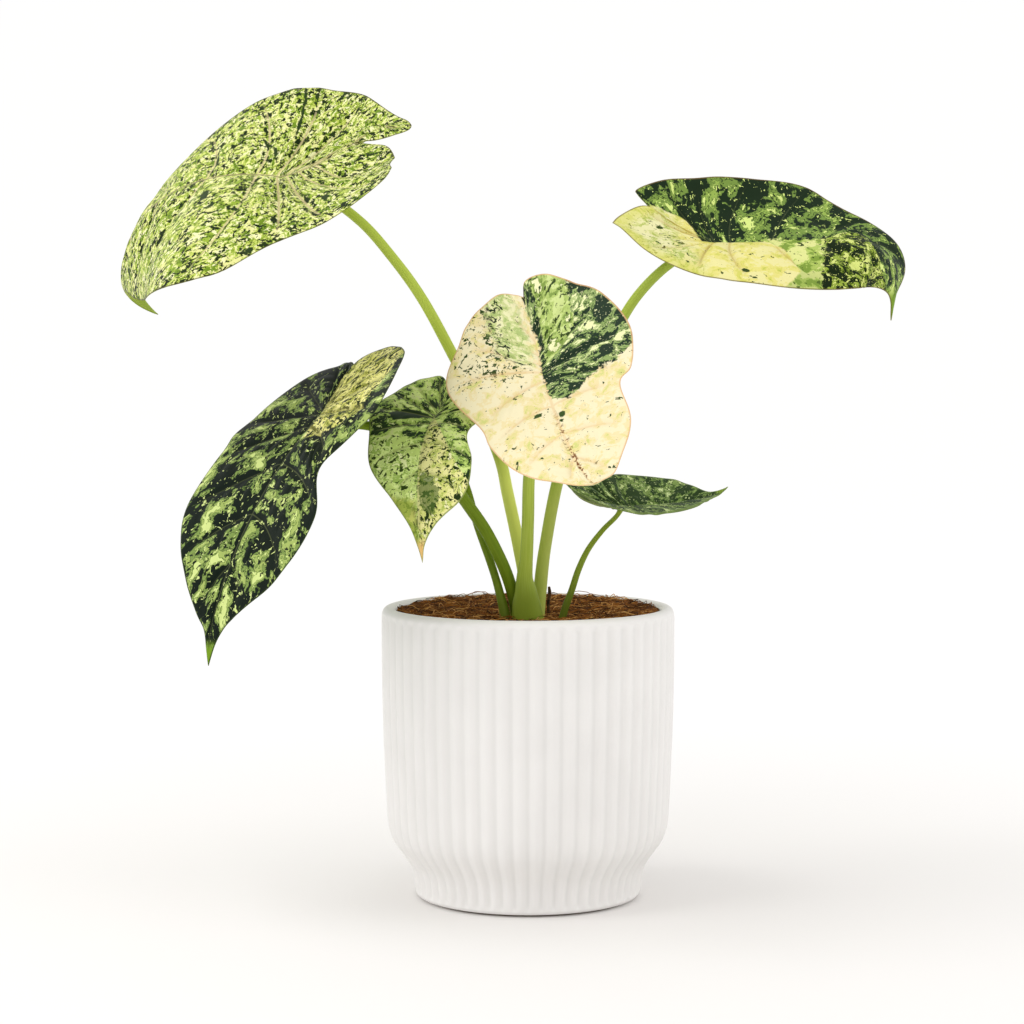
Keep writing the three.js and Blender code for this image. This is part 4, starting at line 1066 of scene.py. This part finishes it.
def paint_centre(paint):
    """Ivory leaf with pinkish ribs that are partly painted shade in their valleys, a tinted lobe under dark
    flecks and a dark sector.
    """
    rib, midrib, along, flecks, tinted = paint.fields("rib_mm", "midrib_mm", "along", "flecks_mm", "tint_mm")
    dark_area, pale_lobe, blots = paint.fields("dark_mm", "pale_lobe_mm", "blots_mm")
    ragged = paint.ragged(16)
    crowd = (flecks + ragged * 0.4).between(-1.0, 3.0) * 0.095
    pale = cream(paint, 12.0, [
        (235, 224, 186, 50), (232, 216, 166, 26), (224, 212, 146, 14), (206, 206, 126, 8)],
        (46, 68, 24), 0.03, 5.0, 1.4, crowd)
    # Pinkish along the ribs and the midrib and in the hollows between the cushions: partly the ribs' own
    # colour, partly painted shade
    pale = painted_crease_shade(paint, pale, (224, 190, 138), 0.5, 1.1)
    brown = paint.marks(paint.grown(1.4, 1.0, 9.0), 0.9, 0.3)
    pale = paint.mix(brown * midrib.between(2.4, 0.6) * along.between(0.2, 0.5), pale, (120, 74, 32))
    tint = cream(paint, 22.0, [
        (232, 230, 182, 30), (206, 212, 148, 28), (172, 190, 116, 26), (228, 226, 174, 12)],
        DARK, 0.05, 5.0, 3.0, crowd)
    dark = camouflage(paint, 32.0, [
        (28, 48, 28, 44), (84, 108, 54, 8), (142, 164, 96, 18), (36, 56, 28, 6), (178, 194, 124, 10),
        (230, 232, 176, 12)], 8.0, 3.0, 0.14, rib.between(2.4, 0.4) * 0.1)
    lobe = cream(paint, 42.0, [
        (204, 218, 142, 28), (174, 194, 108, 30), (128, 152, 72, 26), (236, 236, 184, 16)],
        DEEP, 0.17, 6.0, 2.0)
    colour = paint.mix((tinted + ragged * 0.6).between(-2, 3), pale, tint)
    sector = (dark_area + ragged * 0.5).between(-0.5, 0.5)
    colour = paint.mix(sector, colour, dark)
    colour = paint.mix((pale_lobe + ragged * 0.4).between(-0.5, 0.5) * sector, colour, lobe)
    colour = paint.mix((blots + ragged * 0.15).between(-0.2, 0.2), colour, (50, 74, 28))
    return finish_blade(paint, colour, 0.96, 0.99, (150, 84, 40), (222, 176, 128), (226, 216, 160))


def paint_lower_left(paint):
    """Dark leaf in large light patches between dark creases, whose dark is partly painted shade; one lobe's
    near half is cream.
    """
    rib, midrib, band, cream_area = paint.fields("rib_mm", "midrib_mm", "band_mm", "cream_mm")
    # The dark tone spreads along the ribs, the midrib and the band: partly the leaf's pattern, and along ribs
    # and midrib partly painted shade in the creases
    crease = rib.between(4.0, 0.5).at_least(midrib.between(3.0, 0.6)) * 0.14 + band.between(-3.0, 3.0) * 0.09
    dark = camouflage(paint, 7.0, [
        (12, 24, 14, 38), (66, 84, 38, 7), (120, 142, 72, 18), (24, 38, 22, 6), (156, 174, 94, 18),
        (100, 122, 56, 6), (200, 214, 134, 11)], 13.0, 1.6, 0.14, crease)
    dark = ribbed(paint, dark, (122, 130, 84), 0.25, 0.45, 26.0)
    pale = cream(paint, 17.0, [
        (240, 234, 154, 44), (216, 212, 120, 28), (172, 174, 82, 16), (130, 140, 56, 10)],
        (36, 48, 14), 0.32, 5.0, 3.5)
    # Painted shade in the valleys along the ribs and in the hollows between the cushions of the cream half
    pale = painted_crease_shade(paint, pale, (150, 146, 76), 0.5)
    colour = paint.mix((cream_area + paint.ragged(12) * 0.4).between(-0.4, 0.4), dark, pale)
    return finish_blade(paint, colour, 0.9, 0.96, (112, 146, 30), (48, 62, 30), (96, 116, 62))


def paint_small_left(paint):
    """Mottled green leaf with a dark wedge, a cream sector beside the midrib and a yellow tip."""
    rib, fresh_area, wedge, cream_area, patch, yellow_area = paint.fields(
        "rib_mm", "fresh_mm", "wedge_mm", "cream_mm", "patch_mm", "yellow_mm")
    ragged = paint.ragged(8)
    dark = camouflage(paint, 9.0, [
        (38, 56, 30, 20), (112, 140, 64, 12), (176, 202, 104, 34), (212, 230, 140, 24), (214, 224, 154, 10)],
        7.0, 2.0, 0.16, rib.between(2.2, 0.4) * 0.06)
    fresh = cream(paint, 39.0, [
        (190, 212, 118, 34), (212, 230, 144, 26), (156, 184, 90, 22), (230, 238, 170, 12)],
        DEEP, 0.16, 4.0, 2.0)
    pale = cream(paint, 19.0, [
        (238, 234, 160, 42), (220, 222, 134, 28), (178, 192, 90, 16), (238, 236, 180, 12)],
        (38, 54, 20), 0.24, 4.0, 2.0)
    yellow = cream(paint, 29.0, [
        (196, 200, 104, 40), (160, 176, 76, 36), (126, 146, 54, 24)], DEEP, 0.05, 4.0)
    colour = paint.mix((fresh_area + ragged).between(-0.6, 0.6), dark, fresh)
    colour = paint.mix((wedge + ragged * 0.2).between(-0.3, 0.5), colour, (42, 58, 38))
    colour = paint.mix(cream_area.between(-0.4, 0.4), colour, pale)
    colour = paint.mix((patch + ragged).between(-0.3, 0.3) * 0.75, colour, (84, 110, 48))
    colour = paint.mix(yellow_area.between(-1.0, 3.0), colour, yellow)
    # Painted shade: darker green along the ribs and the midrib and in the hollows between the cushions
    colour = painted_crease_shade(paint, colour, (78, 98, 40), 0.22, 1.4, 10.0)
    colour = ribbed(paint, colour, (206, 208, 140), 0.25, 0.5, 10.0)
    return finish_blade(paint, colour, 0.84, 0.93, (232, 190, 120), (132, 146, 76), (130, 150, 78))


def paint_small_right(paint):
    """Small dark leaf in camouflage, lighter along its near rim and at the tip."""
    rib, margin, across = paint.fields("rib_mm", "margin_mm", "across")
    dark = camouflage(paint, 13.0, [
        (46, 66, 34, 40), (88, 112, 56, 20), (128, 152, 84, 20), (46, 64, 32, 5), (198, 214, 148, 11)],
        6.5, 2.0, 0.14, rib.between(1.6, 0.3) * 0.05)
    rim = margin.between(3.0, 1.4) * across.between(-0.02, -0.1)
    colour = paint.mix(rim * 0.55, dark, (132, 154, 84))
    return finish_blade(paint, colour, 0.86, 0.94, (130, 156, 50), (110, 130, 60), (96, 116, 62))


def paint_stalk(name, light, shade, base, base_height):
    """Green stalk: fine streaks along it, and another green where it nears the coir: deeper on most stalks,
    lighter on the upper left one, as painted light where the blades above shade it.
    """
    paint = Paint(f"stalk_{name}", specular_ior_level=0.12)
    along, side, front, height = paint.fields("along_mm", "side", "front", "height_mm")
    streaks = paint.noise(paint.vector(side * 4, front * 4, along * 0.02), 2.0, 3.0, 0.6)
    speckle = paint.noise(paint.vector(side * 5, front * 5, along * 0.5), 2.0, 2.0, 0.5)
    colour = paint.mix(streaks.between(0.35, 0.7), light, shade)
    colour = paint.mix(speckle.between(0.62, 0.7) * 0.35, colour, shade)
    # The green near the coir; on the upper left stalk it is lighter, painted light where the blades above
    # shade the stalk
    colour = paint.mix(height.between(base_height + 22, base_height), colour, base)
    relief = paint.bump(speckle, 0.2, 0.3)
    return paint.feed(base_color=colour, roughness=0.38 + speckle * 0.14, normal=relief)


def paint_glaze():
    """White matt glaze, a little uneven, with painted shade down the valleys between the ribs and a dark
    painted shadow on the ring at the foot.
    """
    paint = Paint("glaze", specular_ior_level=0.3)
    place = paint.position()
    _, _, height = paint.parts(place)
    cloud = paint.noise(place, 35.0, 3.0, 0.5)
    fine = paint.noise(place, 420.0, 2.0, 0.5)
    colour = paint.mix(cloud.between(0.3, 0.7), (0.8, 0.785, 0.768, 1), (0.775, 0.76, 0.743, 1))
    # Painted shade: darker down the valleys between the ribs
    colour = paint.mix(paint.field("valley") ** 4 * 0.24, colour, (0.6, 0.6, 0.58, 1))
    # Painted shadow: the foot ring below 1.3 mm, in the gap under the pot, is painted dark grey-brown
    colour = paint.mix(height.between(0.0013, 0.0009), colour, (0.2, 0.17, 0.14, 1))
    return paint.feed(base_color=colour, roughness=0.5 + fine * 0.12, normal=paint.bump(fine, 0.12, 0.2))


def paint_coir():
    """Brown coir: lumps from dark to warm under a finer, light grain."""
    paint = Paint("coir_body", specular_ior_level=0.15)
    place = paint.position()
    lumps = paint.noise(place, 260.0, 5.0, 0.65)
    grain = paint.noise(place, 900.0, 3.0, 0.6)
    colour = paint.mix(lumps.between(0.35, 0.6), (16, 7, 1), (120, 70, 20))
    colour = paint.mix(grain.between(0.55, 0.72) * 0.7, colour, (220, 158, 80))
    relief = paint.bump(lumps + grain * 0.4, 0.8, 1.2)
    return paint.feed(base_color=colour, roughness=0.85 + grain * 0.1, normal=relief)


def paint_fibre():
    """Coir fibres, each in its own shade from dark brown to straw."""
    paint = Paint("coir_fibre", specular_ior_level=0.2)
    shade = paint.field("shade")
    colour = paint.mix(shade.between(0.1, 0.6), (64, 34, 8), (152, 94, 32))
    colour = paint.mix(shade.between(0.7, 1.0), colour, (230, 174, 104))
    grain = paint.noise(paint.position(), 700.0)
    return paint.feed(base_color=colour, roughness=0.75 + grain * 0.15)


def paint_woody(name, scale, detail, first, second, roughness, relief):
    """Dry or woody plant matter: one noise blends two tones and is the roughness and relief too."""
    paint = Paint(name, specular_ior_level=0.2)
    grain = paint.noise(paint.position(), scale, detail)
    colour = paint.mix(grain.between(0.4, 0.65), first, second)
    relief = paint.bump(grain, 0.5, relief)
    return paint.feed(base_color=colour, roughness=roughness + grain * 0.2, normal=relief)


# Each blade's paint and, for its stalk, the light and the shaded green, the green near the coir and
# the height where that sets in
# Its green near the coir, below 196 mm, is lighter than its other greens: painted light where the blades
# above shade the stalk
YELLOW_GREEN = ((186, 202, 86), (170, 190, 66), (226, 236, 118), 196)
DARK_GREEN = ((128, 152, 38), (104, 128, 20))
LEAF_PAINTS = {
    "upper_left": (paint_upper_left, YELLOW_GREEN),
    "upper_right": (paint_upper_right, ((176, 194, 84), (160, 180, 64), (190, 204, 98), 186)),
    "centre": (paint_centre, ((188, 206, 92), (168, 190, 66), (136, 154, 48), 142)),
    "lower_left": (paint_lower_left, (*DARK_GREEN, (104, 122, 30), 136)),
    "small_left": (paint_small_left, (*DARK_GREEN, (104, 122, 34), 136)),
    "small_right": (paint_small_right, ((150, 170, 60), (124, 148, 40), (96, 112, 30), 138)),
}


def dress(piece, material, slot, *nodes):
    """Gives a finished piece its material and its body, and hides the CAD nodes it stands for. The slot is
    not used.
    """
    piece.data.materials.clear()
    piece.data.materials.append(material)
    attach(piece, "root")
    if nodes:
        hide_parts(*nodes)


dress(pot_piece(), paint_glaze(), "glaze", "pot")
dress(coir_piece(), paint_coir(), "coir", "coir")
dress(fibre_piece(), paint_fibre(), "coir")
stub = stem_piece("dried_stub_piece", STUB_PATH, longest=STUB_STEP, sides=STUB_SIDES)
dry = paint_woody("dry_stalk", 500.0, 3.0, (38, 26, 16), (92, 64, 34), 0.75, 0.4)
dress(stub, dry, "dry_stalk", "dried_stub")
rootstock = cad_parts["rootstock"].data.materials
rootstock.clear()
rootstock.append(paint_woody("root", 180.0, 4.0, (150, 116, 78), (104, 74, 44), 0.7, 0.8))

for name, blade in BLADES.items():
    paint_leaf, stalk_tones = LEAF_PAINTS[name]
    gloss = CENTRE_GLOSS if name == "centre" else LEAF_GLOSS
    leaf = blade_piece(f"blade_{name}", blade, MARKED_AREAS[name])
    dress(leaf, paint_leaf(Paint(f"blade_{name}", specular_ior_level=gloss)), f"blade_{name}", f"leaf_{name}")
    stalk = stem_piece(f"stalk_{name}", PETIOLES[name], blade)
    dress(stalk, paint_stalk(name, *stalk_tones), "stalk", f"petiole_{name}")


# Camera, light and floor

def floor_piece():
    """A round floor that sweeps up into a wall: a flat disc, a quarter circle and an upright wall,
    turned about the pot's axis. Away from the pot it glows, so that it stays pale up to the wall."""
    turn = np.linspace(0, np.pi / 2, 25)
    radius = np.concatenate([[0.5], FLOOR_RADIUS + FLOOR_SWEEP * np.sin(turn), [FLOOR_RADIUS + FLOOR_SWEEP]])
    height = np.concatenate([[0], FLOOR_SWEEP * (1 - np.cos(turn)), [WALL_TOP]])
    angle = turn_angles(FLOOR_SIDES)
    radius, height = radius[:, None] + 0 * angle, height[:, None] + 0 * angle
    points = np.stack([radius * np.cos(angle), radius * np.sin(angle), height], -1)
    index = np.arange(radius.size).reshape(radius.shape)
    floor = make_mesh("floor", points.reshape(-1, 3), strip_triangles(index, closed=True))
    paint = Paint("floor_white", roughness=0.9, specular_ior_level=0.1, emission_strength=1.0)
    x, y, height = paint.parts(paint.position())
    glow = ((x * x + y * y + height * height) ** 0.5).between(GLOW_FROM, GLOW_FULL)
    colour = paint.mix(glow, (0.845, 0.825, 0.808, 1), (0.1, 0.1, 0.1, 1))
    light = paint.mix(glow, (0, 0, 0, 1), (0.9, 0.893, 0.886, 1))
    floor.data.materials.append(paint.feed(base_color=colour, emission_color=light))


def area_light(name, place, target, size, power):
    """A rectangular lamp at a place, turned so that its light falls towards the target."""
    light = bpy.data.lights.new(name, "AREA")
    light.shape = "RECTANGLE"
    light.size, light.size_y = size
    light.energy = power
    lamp = bpy.data.objects.new(name, light)
    bpy.context.scene.collection.objects.link(lamp)
    x, y, z = np.array(target, float) - place
    lamp.location = place
    lamp.rotation_euler = (math.atan2(math.hypot(x, y), -z), 0, math.atan2(-x, y))


def light_scene():
    """An even pale world and three soft lamps, shown without a film look."""
    world = bpy.data.worlds.new("studio")
    world.use_nodes = True
    background = world.node_tree.nodes["Background"]
    background.inputs["Color"].default_value = (1, 0.998, 0.99, 1)
    background.inputs["Strength"].default_value = WORLD_STRENGTH
    bpy.context.scene.world = world
    for name, lamp in LAMPS.items():
        area_light(name, *lamp)
    bpy.context.scene.view_settings.view_transform = "Standard"
    bpy.context.scene.view_settings.look = "None"


def place_camera():
    """A camera on the fitted line of sight: its lens is the fitted focal length in pixels times the
    sensor's width over the picture's width."""
    camera = bpy.data.cameras.new("camera")
    camera.sensor_width = SENSOR_WIDTH
    camera.lens = CAMERA_FOCAL_PIXELS * SENSOR_WIDTH / IMAGE_PIXELS
    camera.clip_start, camera.clip_end = 0.05, 30
    holder = bpy.data.objects.new("camera", camera)
    bpy.context.scene.collection.objects.link(holder)
    holder.location = (0, -CAMERA_DISTANCE * MM, CAMERA_HEIGHT * MM)
    holder.rotation_euler = (math.pi / 2 - CAMERA_PITCH, 0, -CAMERA_YAW)
    bpy.context.scene.camera = holder


floor_piece()
light_scene()
place_camera()
